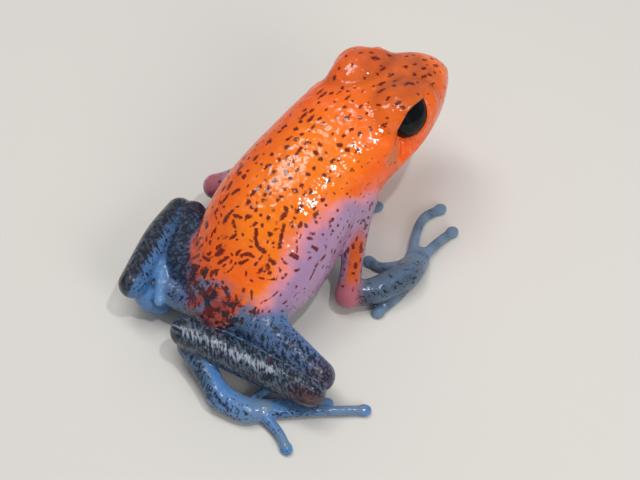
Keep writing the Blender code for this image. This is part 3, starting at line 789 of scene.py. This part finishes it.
def trunk_paint(along, angle, ragged, hues):
    """The trunk's ground colour, the share of black in it, how fine the black is, and the strength of the
    painted sheen, a pale painted highlight.
    """
    side = np.abs(angle) + 7 * ragged
    body = smooth_step(13.2, 11.2, along)
    pink = np.where(angle > 0, LEFT_PINK_EDGE, np.interp(along, *PINK_EDGE))
    crown = smooth_step(15.5, 18.5, along) * smooth_step(21.3, 20.3, along) * smooth_step(60, 20, side)
    inward = 32 * smooth_step(2.6, 1.2, along) * smooth_step(0, -20, angle)
    groin = smooth_step(3.9, 2.2, along + ragged) * smooth_step(50, 78, side + inward)
    rump = smooth_step(2.1, 0.8, along + 0.9 * ragged)
    layers = (
        # Painted shade: the back's left side, away from the light, is turned deep orange
        (hues.deep_orange, smooth_step(0, 55, angle + 8 * ragged)),
        (hues.red_orange, 0.6 * smooth_step(12.0, 15.5, along)),
        (hues.red_orange, smooth_step(35, 75, side) * smooth_step(8, 12, along)),
        (hues.crown, crown * (0.75 + 0.4 * ragged)),
        (hues.pink, smooth_step(pink - 6, pink + 10, side) * body),
        (hues.lavender, smooth_step(pink + 2, pink + 22, side) * body),
        (hues.belly, smooth_step(110, 150, side) * body),
        (hues.groin, groin),
        (hues.deep_orange, 0.7 * smooth_step(5.5, 3.0, along) * smooth_step(pink, pink - 15, side)),
        (hues.crimson, rump * (1 - groin)),
        (hues.groin, 0.9 * smooth_step(2.6, 1.6, along) * smooth_step(0.0, 0.35, ragged)),
    )
    marked = smooth_step(3.0, 1.4, along + 0.6 * ragged)
    black = 0.95 * marked + 0.6 * groin * (1 - marked) - 0.4
    return layered(hues.orange, layers), black, 0.4 * rump, 0 * along


def limb_paint(kind, word, share, turn, ragged, hues):
    """The same four for a limb, by how far along it and how far round from its top."""
    plain = 0 * share
    if kind == "upper_arm":
        edge = smooth_step(30, 52, np.abs(turn - ARM_FACE))
        root = smooth_step(0.5, 0.3, share + 0.1 * ragged)
        if word == "left":
            root = plain + 0.75
        colour = blended(hues.arm, hues.violet, np.maximum(edge, root))
        # The elbow's hue is its pinkish skin lightened towards lavender grey, partly a painted highlight
        elbow = smooth_step(0.8, 0.97, share)
        return blended(colour, hues.elbow, elbow), 0.2 - 0.4 * elbow, plain + 0.4, plain
    if kind == "forearm":
        top = smooth_step(60, 10, np.abs(turn))
        colour = blended(hues.dim_slate, hues.slate, top)
        colour = blended(hues.elbow, colour, smooth_step(0.02, 0.16, share))
        colour = blended(colour, hues.hand, smooth_step(0.6, 1.0, share) * 0.6)
        # The last value is a painted sheen on the forearm's top
        return colour, 0.5 - 0.2 * top, plain + 0.7, 0.3 * top
    if kind == "hand":
        joint = bell(share - 0.45, 0.12) + bell(share - 0.8, 0.1)
        # The last value is a painted sheen on the hand
        return blended(hues.hand, hues.slate, joint * 0.6), 0.1 + 0.2 * joint, plain + 0.8, plain + 0.3
    if kind == "thigh" and word == "left":
        colour = blended(hues.navy, hues.knee, smooth_step(0.8, 1.0, share) * 0.8)
        # Painted shade: the left thigh lies on the shaded side, so its colour is darkened to 0.6
        return colour * 0.6, plain + 0.62, plain + 1, plain
    if kind == "thigh":
        colour = blended(hues.navy, hues.blue, smooth_step(5, 60, turn) * 0.8)
        colour = blended(hues.teal, colour, smooth_step(0.05, 0.3, share))
        colour = blended(colour, hues.knee, smooth_step(0.85, 1.0, share) * 0.6)
        black = 0.46 + 0.1 * smooth_step(0.4, 0.9, share) - 0.22 * smooth_step(10, 60, turn)
        # Painted highlight: a pale sheen patch near the thigh's root, with less black there
        root = bell(share - 0.22, 0.13) * bell(turn + 15, 26)
        return colour, black * (1 - 0.4 * root), plain + 0.9, root
    if kind == "shank":
        # Painted light and shade: the right shank's colours are lightened because it lies in the light, and
        # the left one's darkened because it lies in shade
        inner, outer_light, lit = 0.5 * smooth_step(-45, -70, turn), 1.45, 1.0
        if word == "left":
            inner, outer_light, lit = smooth_step(-4, -44, turn + 8 * ragged), 0.75, 0.75
        colour = blended(hues.dim_slate * outer_light, hues.blue * lit, inner)
        knee = smooth_step(0.2, 0.02, share) * smooth_step(0, 50, turn)
        # Painted highlight: the pale sheen band along the lit top of the shank, which also has less black
        # there
        band = bell(turn - 14 - 14 * share, 22) * smooth_step(0.12, 0.3, share)
        band *= 0.3 if word == "left" else 1.0
        black = 0.58 - 0.2 * inner - 0.14 * band
        return blended(colour, hues.knee, knee), black, plain + 0.85, 1.1 * band
    if kind == "tarsus":
        inner = smooth_step(-12, 6, turn + 12 * ragged)
        if word == "left":
            inner = plain + 0.8
        return blended(hues.teal, hues.blue, inner), 0.5 - 0.55 * inner, plain + 0.8, plain
    if kind == "foot":
        inner = smooth_step(-8, 14, turn)
        black = (0.46 - 0.4 * inner) * smooth_step(0.95, 0.3, share)
        # The last value is a painted sheen on the foot
        return blended(hues.blue, hues.hand, share), black, plain + 0.8, plain + 0.2
    if kind == "fold":
        tone = hues.navy if word == "left" else hues.teal
        return blended(hues.navy, tone, plain + 0.5), plain + 0.42, plain + 0.7, plain
    # The heel's ridge is painted pale blue, partly its blue skin and partly a painted highlight
    return blended(hues.blue, hues.pale_blue, plain + 0.5), plain - 0.4, plain, plain


def noise_at(places, size):
    """Smooth noise of about that size in millimetres, between -1 and 1."""
    return np.array([noise.noise(Vector(place)) for place in places / size])


def paint(mesh, forms, look, hues):
    """Writes the ground colour and the marks' strengths to the mesh's attributes."""
    trunk = forms[0][1]
    places = read_places(mesh)
    ragged = noise_at(places, 0.9) + 0.5 * noise_at(places, 0.35)
    zones = nearest_forms(forms, places)
    weights = zone_weights(zones, 0.14)
    along, angle, round_at_trunk = trunk_angle(trunk, places)
    total = np.zeros((len(places), 6))
    grain = np.zeros((len(places), 2))
    nearest = np.full(len(places), FAR)
    for name, (distance, share, form_of, owners) in zones.items():
        if name in ("trunk", "dome"):
            paints = trunk_paint(along, angle, ragged, hues)
            run, round_at = along, round_at_trunk
        else:
            kind, _, word = name.rpartition("_")
            turn, run = np.zeros((2, len(places)))
            for i, form in enumerate(owners):
                mine = form_of == i
                turn[mine] = form.turn(places[mine], share[mine])
                run[mine] = share[mine] * form.length
            turn *= -1 if word == "left" else 1
            paints = limb_paint(kind, word, share, turn, ragged, hues)
            round_at = np.radians(turn) * STREAK_RADIUS
        total += np.column_stack(paints) * weights[name][:, None]
        here = distance < nearest
        nearest[here] = distance[here]
        grain[here] = np.column_stack((run, round_at))[here]
    forward, plane = mouth_gap(places)
    black = total[:, 3]
    # Painted shade: a dark line along the mouth's groove
    black += 1.1 * bell(plane, 0.05) * smooth_step(MOUTH_CORNER - 0.2, MOUTH_CORNER + 0.4, forward)
    # Painted shade: black in the pit of each nostril
    for side in (1, -1):
        black += 1.8 * bell(gap_to(places, trunk.place(*NOSTRIL, side)), 0.13)
    write_layer(mesh, "ground", total[:, :3])
    # The sheen column is a painted highlight: it lays pale streaks into the colour where the light's
    # highlight falls on the limbs
    for column, name in enumerate(("black", "fine", "sheen"), 3):
        write_layer(mesh, name, total[:, column])
    lean = math.radians(look.streak_lean)
    streak = grain @ np.array(((math.cos(lean), math.sin(lean)), (-math.sin(lean), math.cos(lean))))
    write_layer(mesh, "streak", streak / (look.streak_length, look.streak_width))
    arm = weights["upper_arm_right"] + weights["upper_arm_left"]
    on_trunk = weights["trunk"] + weights["dome"] + 0.8 * arm
    mark = mark_distance(trunk, along, round_at_trunk)
    write_layer(mesh, "mark", mark + np.clip(0.7 - on_trunk, 0, 1))
    radius = speck_radius(along, angle, look) * smooth_step(0.0, MARK_MARGIN, mark)
    radius = radius * (1 - arm) + look.speck_size * arm
    write_layer(mesh, "dot", radius * smooth_step(0.3, 0.6, on_trunk))
    rear = smooth_step(8.5, 4.5, along)
    swirl = [noise_at(places + shift, 1.3) * (0.15 + 0.75 * rear) for shift in (0.0, 50.0)]
    spread = grain + np.column_stack(swirl) + SEED_SHIFT * (look.seed - SEED)
    write_layer(mesh, "spread", spread / look.speck_spacing)
    # Painted shade: the groove round each dome is darkened in the colour
    ring = bell(np.minimum(*(dome.measure(places)[0] for dome in domes(forms))) - 0.3, 0.22)
    write_layer(mesh, "ring", ring * smooth_step(*DOME_FOLD_HEIGHTS, places[:, 2]))
    drum = np.minimum(*(gap_to(places, trunk.place(*EARDRUM, side)) for side in (1, -1)))
    write_layer(mesh, "drum", bell(drum, 0.42))


def nearest_forms(forms, points):
    """For each zone: distance, share along, which of its forms is nearest, and those forms."""
    zones = {}
    for name, form, _ in forms:
        distance, share = form.measure(points)
        if name not in zones:
            zones[name] = (distance, share, np.zeros(len(points), int), [form])
            continue
        old, old_share, owner, owners = zones[name]
        nearer = distance < old
        owners.append(form)
        zones[name] = (
            np.where(nearer, distance, old),
            np.where(nearer, share, old_share),
            np.where(nearer, len(owners) - 1, owner),
            owners,
        )
    return zones


def zone_weights(zones, softness):
    """How much of each zone is in each point."""
    distances = np.array([zone[0] for zone in zones.values()])
    weights = np.exp(-np.clip(distances - distances.min(0), 0, 8 * softness) / softness)
    weights /= weights.sum(0)
    return dict(zip(zones, weights))


def trunk_angle(trunk, places):
    """For each place: distance along the trunk, degrees from its top and millimetres round it."""
    along, across, above, wide, high, low, _, _ = trunk.locate(places).T
    angle = np.degrees(np.arctan2(across / wide, above / np.where(above > 0, high, low)))
    return along, angle, np.radians(angle) * wide


def mark_distance(trunk, along, round_at):
    """Distance of each place of the trunk from the edge of the nearest large mark, in millimetres."""
    nearest = np.full(len(along), 1.0)
    for line in LONG_MARKS:
        station, angle = np.array(line).T
        wide = np.interp(station, trunk.stations, trunk.radii[:, 0])
        mark = np.column_stack((station, np.radians(angle) * wide))
        for first, last in zip(mark, mark[1:]):
            offset = np.column_stack((along, round_at)) - first
            run = last - first
            t = np.clip(offset @ run / (run @ run + TINY), 0, 1)
            gap = np.linalg.norm(offset - t[:, None] * run, axis=1) - LONG_MARK_WIDTH
            nearest = np.minimum(nearest, gap)
    return nearest


def speck_radius(along, angle, look):
    """The half width of a common speck at each place of the trunk, in millimetres."""
    head = smooth_step(12.5, 15.0, along)
    cheek = smooth_step(30, 48, np.abs(angle)) * smooth_step(9.0, 11.0, along)
    flank = smooth_step(30, 50, -angle)
    under = smooth_step(95, 130, np.abs(angle))
    return look.speck_size * (1 - 0.25 * head - 0.3 * flank) * (1 - 0.6 * cheek) * (1 - 0.5 * under)


def write_layer(mesh, name, values):
    """Keeps a number, a place in a plane or a colour for each vertex under a name."""
    kind, field = "FLOAT", "value"
    if values.ndim > 1:
        kinds = {2: ("FLOAT_VECTOR", "vector", 0.0), 3: ("FLOAT_COLOR", "color", 1.0)}
        kind, field, last = kinds[values.shape[1]]
        values = np.pad(values, ((0, 0), (0, 1)), constant_values=last)
    mesh.attributes.new(name, kind, "POINT").data.foreach_set(field, values.ravel())


def fill(node, inputs):
    """Links or sets a node's inputs, by name or number."""
    for name, value in inputs.items():
        if isinstance(value, Socket):
            value.tree.links.new(value.socket, node.inputs[name])
        else:
            node.inputs[name].default_value = value


class Socket:
    """A shader socket that Python's operators and the node method build on."""

    def __init__(self, tree, socket=None):
        self.tree = tree
        self.socket = socket

    def node(self, kind, settings=None, inputs=None, output=0):
        """Adds a node of a type, makes its settings first and then fills its sockets."""
        made = self.tree.nodes.new(kind)
        for name, value in (settings or {}).items():
            setattr(made, name, value)
        fill(made, inputs or {})
        return Socket(self.tree, made.outputs[output])

    def sibling(self, output):
        """Another output of the node that this socket belongs to."""
        return Socket(self.tree, self.socket.node.outputs[output])

    def math(self, operation, first, second=0.0):
        """Two values joined by the named operation."""
        return self.node("ShaderNodeMath", {"operation": operation}, {0: first, 1: second})

    def __add__(self, other):
        return self.math("ADD", self, other)

    def __sub__(self, other):
        return self.math("SUBTRACT", self, other)

    def __rsub__(self, other):
        return self.math("SUBTRACT", other, self)

    def __mul__(self, other):
        return self.math("MULTIPLY", self, other)

    def step(self, low, high):
        """0 below low, 1 above high, smooth between. It falls where low is above high."""
        span = {"From Min": low, "From Max": high}
        settings = {"interpolation_type": "SMOOTHSTEP"}
        return self.node("ShaderNodeMapRange", settings, {"Value": self, **span})

    def mix(self, first, second):
        """The first colour turned towards the second by this socket's value."""
        settings = {"data_type": "RGBA"}
        return self.node("ShaderNodeMix", settings, {0: self, 6: first, 7: second}, output=2)


def new_material(name):
    """A material with its Principled BSDF, and a first socket to build on."""
    material = bpy.data.materials.new(name)
    material.use_nodes = True
    shader = material.node_tree.nodes["Principled BSDF"]
    return material, shader, Socket(material.node_tree)


def attribute(start, name, output="Fac"):
    """A value kept with the mesh's vertices."""
    return start.node("ShaderNodeAttribute", {"attribute_name": name}, output=output)


def opaque(colour):
    """The colour with a full alpha."""
    return (*colour, 1.0)


def skin_material(look, hues):
    """Wet granular skin: ground colour, black marbling, dark specks, and pale streaks that are a painted
    sheen.
    """
    material, shader, start = new_material("frog_skin")
    place = start.node("ShaderNodeTexCoord", output="Object")

    def grain(size, detail=2.0, vector=place):
        inputs = {"Vector": vector, "Scale": 1 / (size * MM), "Detail": detail, "Roughness": 0.55}
        return start.node("ShaderNodeTexNoise", None, inputs)

    def shaded(colour, value, saturation=1.0):
        inputs = {"Saturation": saturation, "Value": value, "Color": colour}
        return start.node("ShaderNodeHueSaturation", None, inputs)

    ground = attribute(start, "ground", "Color")
    black = attribute(start, "black")
    fine = attribute(start, "fine")
    dot = attribute(start, "dot")
    drum = attribute(start, "drum")
    ragged = grain(0.16, 3.0)
    coarse = grain(0.55, 3.0)
    streak = grain(1 / MM, 3.0, attribute(start, "streak", "Color"))
    cloud = grain(2.4).step(0.35, 0.68)
    colour = (cloud * 0.4).mix(ground, shaded(ground, 0.82, 1.1))
    colour = (grain(0.8).step(0.5, 0.75) * 0.35).mix(colour, shaded(colour, 1.16, 0.92))
    colour = (drum * 0.8).mix(colour, opaque(hues.eardrum))
    # Painted shade: the ground colour darkened in the groove round each dome
    ring = attribute(start, "ring")
    colour = (ring * 0.5).mix(colour, shaded(ground, 0.55, 1.1))
    fine_marks = streak * 0.6 + ragged * 0.4
    marks = fine_marks * fine + coarse * (1.0 - fine)
    dark = (0.5 - marks + (black - 0.5) * 0.32).step(-0.04, 0.05)
    colour = (dark * 0.93).mix(colour, opaque(hues.black))
    # Painted sheen: pale streaks laid into the colour where the sheen attribute marks a highlight
    pale = (streak + (attribute(start, "sheen") - 1.0) * 0.3).step(0.4, 0.62)
    colour = (pale * 0.7).mix(colour, opaque(hues.painted_sheen))
    wobble = (ragged - 0.5) * 0.3
    spread = attribute(start, "spread", "Color")

    def scattered(stretch, chance, size):
        """Distance from the edge of the nearest of many random specks, in millimetres."""
        inputs = {0: spread, 1: (*stretch, 1.0)}
        vector = start.node("ShaderNodeVectorMath", {"operation": "MULTIPLY"}, inputs)
        inputs = {"Vector": vector, "Scale": 1.0, "Randomness": 0.66}
        cell = start.node("ShaderNodeTexVoronoi", {"voronoi_dimensions": "2D"}, inputs)
        draw = start.node("ShaderNodeSeparateColor", None, {"Color": cell.sibling("Color")})
        present = draw.sibling("Green").step(chance + 0.01, chance - 0.01)
        half = dot * (draw * 0.9 + 0.55) * size * present
        return cell * (look.speck_spacing / max(stretch)) - half + (1.0 - present) * 0.2

    small, longer = (scattered(*layer) for layer in SPECK_LAYERS)
    nearest = start.math("MINIMUM", start.math("MINIMUM", small, longer), attribute(start, "mark"))
    spots = (wobble - nearest).step(-0.055, 0.045)
    spot_colour = (grain(1.7).step(0.4, 0.7) * 0.4).mix(opaque(hues.speck), shaded(ground, 0.2))
    colour = (spots * 0.96).mix(colour, spot_colour)
    rough = grain(1.2) * 0.2 + (look.roughness - 0.1) + black.step(0.0, 0.5) * 0.1
    inputs = {"Vector": place, "Scale": 1 / (look.granule_size * MM), "Smoothness": 0.7}
    granule = start.node("ShaderNodeTexVoronoi", {"feature": "SMOOTH_F1"}, inputs)
    height = (0.0 - granule) + grain(0.9) * 2.2 + ragged * 0.15
    inputs = {"Strength": 1.0, "Distance": look.granule_height * MM, "Height": height}
    bump = start.node("ShaderNodeBump", None, inputs)
    fill(shader, {"Base Color": colour, "Roughness": rough, "Normal": bump, "Specular IOR Level": 0.6})
    inner = {"Weight": 0.1, "Radius": (1.0, 0.35, 0.15), "Scale": 0.25 * MM}
    fill(shader, {"Subsurface " + name: value for name, value in inner.items()})
    return material


def eye_material(hues):
    """Glossy near-black eye with a few lighter flecks."""
    material, shader, start = new_material("frog_eye")
    place = start.node("ShaderNodeTexCoord", output="Object")
    inputs = {"Vector": place, "Scale": 1 / (0.5 * MM), "Detail": 3.0}
    fleck = start.node("ShaderNodeTexNoise", None, inputs)
    colour = fleck.step(0.45, 0.75).mix(opaque(hues.pupil), opaque(hues.iris))
    fill(shader, {"Base Color": colour, "Roughness": 0.06, "Specular IOR Level": 0.22})
    return material


def size(name, description, default, **kind):
    """A number to set, in the unit that its description gives."""
    return FloatProperty(name=name, description=description, default=default, **kind)


class FrogSizes(bpy.types.PropertyGroup):
    """Sizes of the skin's grain and marks, and of the eyes."""

    voxel: size("Mesh size", "Edge of the skin's faces in millimetres", 0.12)
    eye_radius: size("Eye radius", "Radius of each eyeball in millimetres", 1.58)
    eye_slant: size("Eye slant", "Turn of the lids' opening about the gaze, in degrees", 37.2)
    lid_half_length: size("Lid length", "Half the opening's length, in degrees of the eyeball", 58.1)
    upper_lid_open: size("Upper lid", "How far the upper lid is open, in degrees", 30.6)
    lower_lid_open: size("Lower lid", "How far the lower lid is open, in degrees", 24.4)
    speck_spacing: size("Speck spacing", "Distance between the back's dark specks in millimetres", 0.7)
    seed: IntProperty(name="Seed", description="Draws the specks' places and sizes", default=SEED)
    speck_size: size("Speck size", "Half width of a common speck in millimetres", 0.125)
    streak_lean: size("Streak lean", "Turn of the limbs' fine streaks from their length, in degrees", 58.0)
    streak_length: size("Streak length", "Length of the limbs' fine streaks in millimetres", 0.42)
    streak_width: size("Streak width", "Width of the limbs' fine streaks in millimetres", 0.15)
    granule_size: size("Granule size", "Distance between skin granules in millimetres", 0.42)
    granule_height: size("Granule height", "Height of a skin granule in millimetres", 0.044)
    roughness: size("Roughness", "Roughness of the wet skin", 0.17, min=0.0, max=1.0, subtype="FACTOR")


def hue(name, description, *values):
    """A colour setting whose default is given as it looks on a screen."""
    colour = tuple(srgb(*values))
    return FloatVectorProperty(
        name=name, description=description, default=colour, size=3, min=0, max=1, subtype="COLOR"
    )


class FrogColours(bpy.types.PropertyGroup):
    """The colours of the skin's zones and marks, and of the eyes."""

    orange: hue("Orange", "Back", 255, 126, 0)
    # Deep orange is the rear's own colour, and on the back's left side it is also painted shade
    deep_orange: hue("Deep orange", "Left of the back", 238, 88, 0)
    red_orange: hue("Red orange", "Sides of the neck and head", 250, 98, 10)
    crown: hue("Crown", "Top of the head", 188, 86, 40)
    pink: hue("Pink", "Upper flank", 240, 148, 150)
    lavender: hue("Lavender", "Lower flank", 172, 136, 172)
    belly: hue("Belly", "Underside of the trunk", 128, 146, 182)
    groin: hue("Groin", "Skin where the thigh begins", 96, 112, 142)
    crimson: hue("Crimson", "Rump", 160, 68, 62)
    arm: hue("Arm", "Outer upper arm", 208, 90, 26)
    violet: hue("Violet", "Root and edges of the arm", 164, 132, 160)
    # The elbow's pink skin, lightened partly as a painted highlight
    elbow: hue("Elbow", "Skin of the elbow", 182, 104, 116)
    slate: hue("Slate", "Top of the forearm", 82, 104, 126)
    dim_slate: hue("Dim slate", "Shank and side of the forearm", 66, 80, 96)
    navy: hue("Navy", "Outer thigh", 80, 106, 146)
    teal: hue("Teal", "Hip and outer heel", 74, 106, 138)
    blue: hue("Blue", "Inner leg", 86, 134, 190)
    hand: hue("Hand", "Hands and toes", 112, 136, 162)
    # Pale blue is partly the ridge's blue skin and partly a painted highlight
    pale_blue: hue("Pale blue", "Ridge of the heel", 126, 170, 212)
    knee: hue("Knee", "Skin of the knee", 96, 62, 66)
    # Painted sheen: the pale colour of the streaks laid where a highlight falls on the legs, forearms and
    # hands
    painted_sheen: hue("Pale streak", "Lightest streaks of the leg", 176, 182, 196)
    eardrum: hue("Eardrum", "Round patch behind the eye", 170, 122, 84)
    black: hue("Black", "Marks of the legs", 14, 18, 32)
    speck: hue("Speck", "Marks of the back", 104, 10, 4)
    pupil: hue("Pupil", "Most of the eye", 6, 7, 11)
    iris: hue("Iris", "Flecks in the eye", 26, 27, 30)


class FROG_OT_skin(bpy.types.Operator):
    """Build the whole skin with its lids, mouth, nostrils and marks."""

    bl_idname = "frog.skin"
    bl_label = "Skin"

    def execute(self, context):
        sizes, hues = context.scene.frog_sizes, context.scene.frog_colours
        forms = all_forms()
        trunk = forms[0][1]
        mesh = rough_union(forms, sizes.voxel)
        settle(mesh, forms, 3)
        places = read_places(mesh)
        wanted = np.zeros(len(places), bool)
        for side in (1, -1):
            edge, _, reach, _ = eye_opening(places, side, sizes)
            wanted |= (np.abs(edge) < FINE_MARGIN) & (reach < LID_FINE_REACH)
        along, _, round_at = trunk_angle(trunk, places)
        near_trunk = np.abs(trunk.measure(places)[0]) < FINE_MARGIN
        wanted |= (mark_distance(trunk, along, round_at) < MARK_FINE_MARGIN) & near_trunk
        forward, plane = mouth_gap(places)
        wanted |= (np.abs(plane) < FINE_MARGIN) & (forward > MOUTH_CORNER - 0.2)
        refine(mesh, wanted)
        settle(mesh, forms, 2)
        shape_head(mesh, forms, sizes)
        paint(mesh, forms, sizes, hues)
        low, high = (np.array(corner) / MM for corner in CAD_BOX)
        write_places(mesh, np.clip(read_places(mesh) + frame_shift(), low, high) * MM)
        mesh.materials.clear()
        mesh.materials.append(skin_material(sizes, hues))
        mesh.shade_smooth()
        skin = linked("frog_skin", mesh)
        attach(skin, "root")
        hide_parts(*(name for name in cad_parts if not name.startswith("eye_")))
        return {"FINISHED"}


class FROG_OT_eyes(bpy.types.Operator):
    """Build both glossy eyes behind their lids."""

    bl_idname = "frog.eyes"
    bl_label = "Eyes"

    def execute(self, context):
        sizes, hues = context.scene.frog_sizes, context.scene.frog_colours
        finish = eye_material(hues)
        for side, word in ((1, "left"), (-1, "right")):
            axes = gaze_axes(side)
            centre = ball_place(side) + axes[2] * EYE_FORWARD + frame_shift()
            bm = bmesh.new()
            bmesh.ops.create_uvsphere(bm, u_segments=64, v_segments=32, radius=sizes.eye_radius * MM)
            turn = Matrix([list(row) for row in axes.T]).to_4x4()
            bm.transform(Matrix.Translation(Vector(centre * MM)) @ turn)
            mesh = mesh_of(bm, "eyeball_" + word, finish)
            mesh.shade_smooth()
            eye = linked("eyeball_" + word, mesh)
            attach(eye, "root")
            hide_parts("eye_" + word)
        return {"FINISHED"}


class FROG_OT_stage(bpy.types.Operator):
    """Lay the pale floor and set the lights and the camera."""

    bl_idname = "frog.stage"
    bl_label = "Stage"

    def execute(self, context):
        scene = context.scene
        bm = bmesh.new()
        bmesh.ops.create_grid(bm, x_segments=1, y_segments=1, size=FLOOR_SIZE)
        material, shader, _ = new_material("floor")
        fill(shader, {"Base Color": opaque(srgb(222, 218, 210)), "Roughness": 0.8})
        linked("floor", mesh_of(bm, "floor", material))
        for name, place, width, power, shines in LAMPS:
            light = bpy.data.lights.new(name, "AREA")
            light.shape = "DISK"
            light.size = width
            light.energy = power
            lamp = linked(name, light)
            lamp.location = place
            lamp.visible_glossy = shines
            lamp.rotation_euler = (Vector(AIM) - Vector(place)).to_track_quat("-Z", "Y").to_euler()
        world = bpy.data.worlds.new("studio")
        world.use_nodes = True
        fill(world.node_tree.nodes["Background"], {"Color": WORLD_COLOUR, "Strength": WORLD_STRENGTH})
        scene.world = world
        scene.view_settings.view_transform = "Standard"
        azimuth, elevation = CAMERA_TURN
        level = math.cos(elevation)
        back = Vector((math.sin(azimuth) * level, -math.cos(azimuth) * level, math.sin(elevation)))
        camera = linked("camera", bpy.data.cameras.new("camera"))
        camera.data.lens = CAMERA_LENS
        camera.data.clip_start = 0.005
        camera.location = Vector(tuple((np.array(CAMERA_PLACE) + frame_shift()) * MM))
        camera.rotation_euler = (-back).to_track_quat("-Z", "Y").to_euler()
        scene.camera = camera
        return {"FINISHED"}


class FROG_PT_panel(bpy.types.Panel):
    """Lists the frog's pieces in the sidebar."""

    bl_idname = "FROG_PT_panel"
    bl_label = "Frog"
    bl_space_type = "VIEW_3D"
    bl_region_type = "UI"
    bl_category = "Frog"

    def draw(self, context):
        for operator in OPERATORS:
            self.layout.operator(operator.bl_idname)
        for group in (context.scene.frog_sizes, context.scene.frog_colours):
            for name in group.bl_rna.properties.keys():
                if name not in ("rna_type", "name"):
                    self.layout.prop(group, name)


OPERATORS = (FROG_OT_skin, FROG_OT_eyes, FROG_OT_stage)
CLASSES = (FrogSizes, FrogColours, *OPERATORS, FROG_PT_panel)


def register():
    """Makes the settings, the operators and the panel known."""
    for kind in CLASSES:
        bpy.utils.register_class(kind)
    bpy.types.Scene.frog_sizes = PointerProperty(type=FrogSizes)
    bpy.types.Scene.frog_colours = PointerProperty(type=FrogColours)


def unregister():
    """Takes them away again."""
    del bpy.types.Scene.frog_sizes
    del bpy.types.Scene.frog_colours
    for kind in reversed(CLASSES):
        bpy.utils.unregister_class(kind)


def main():
    """Makes the settings known, then builds the frog and its stage."""
    register()
    bpy.ops.frog.skin()
    bpy.ops.frog.eyes()
    bpy.ops.frog.stage()


if __name__ == "__main__":
    main()
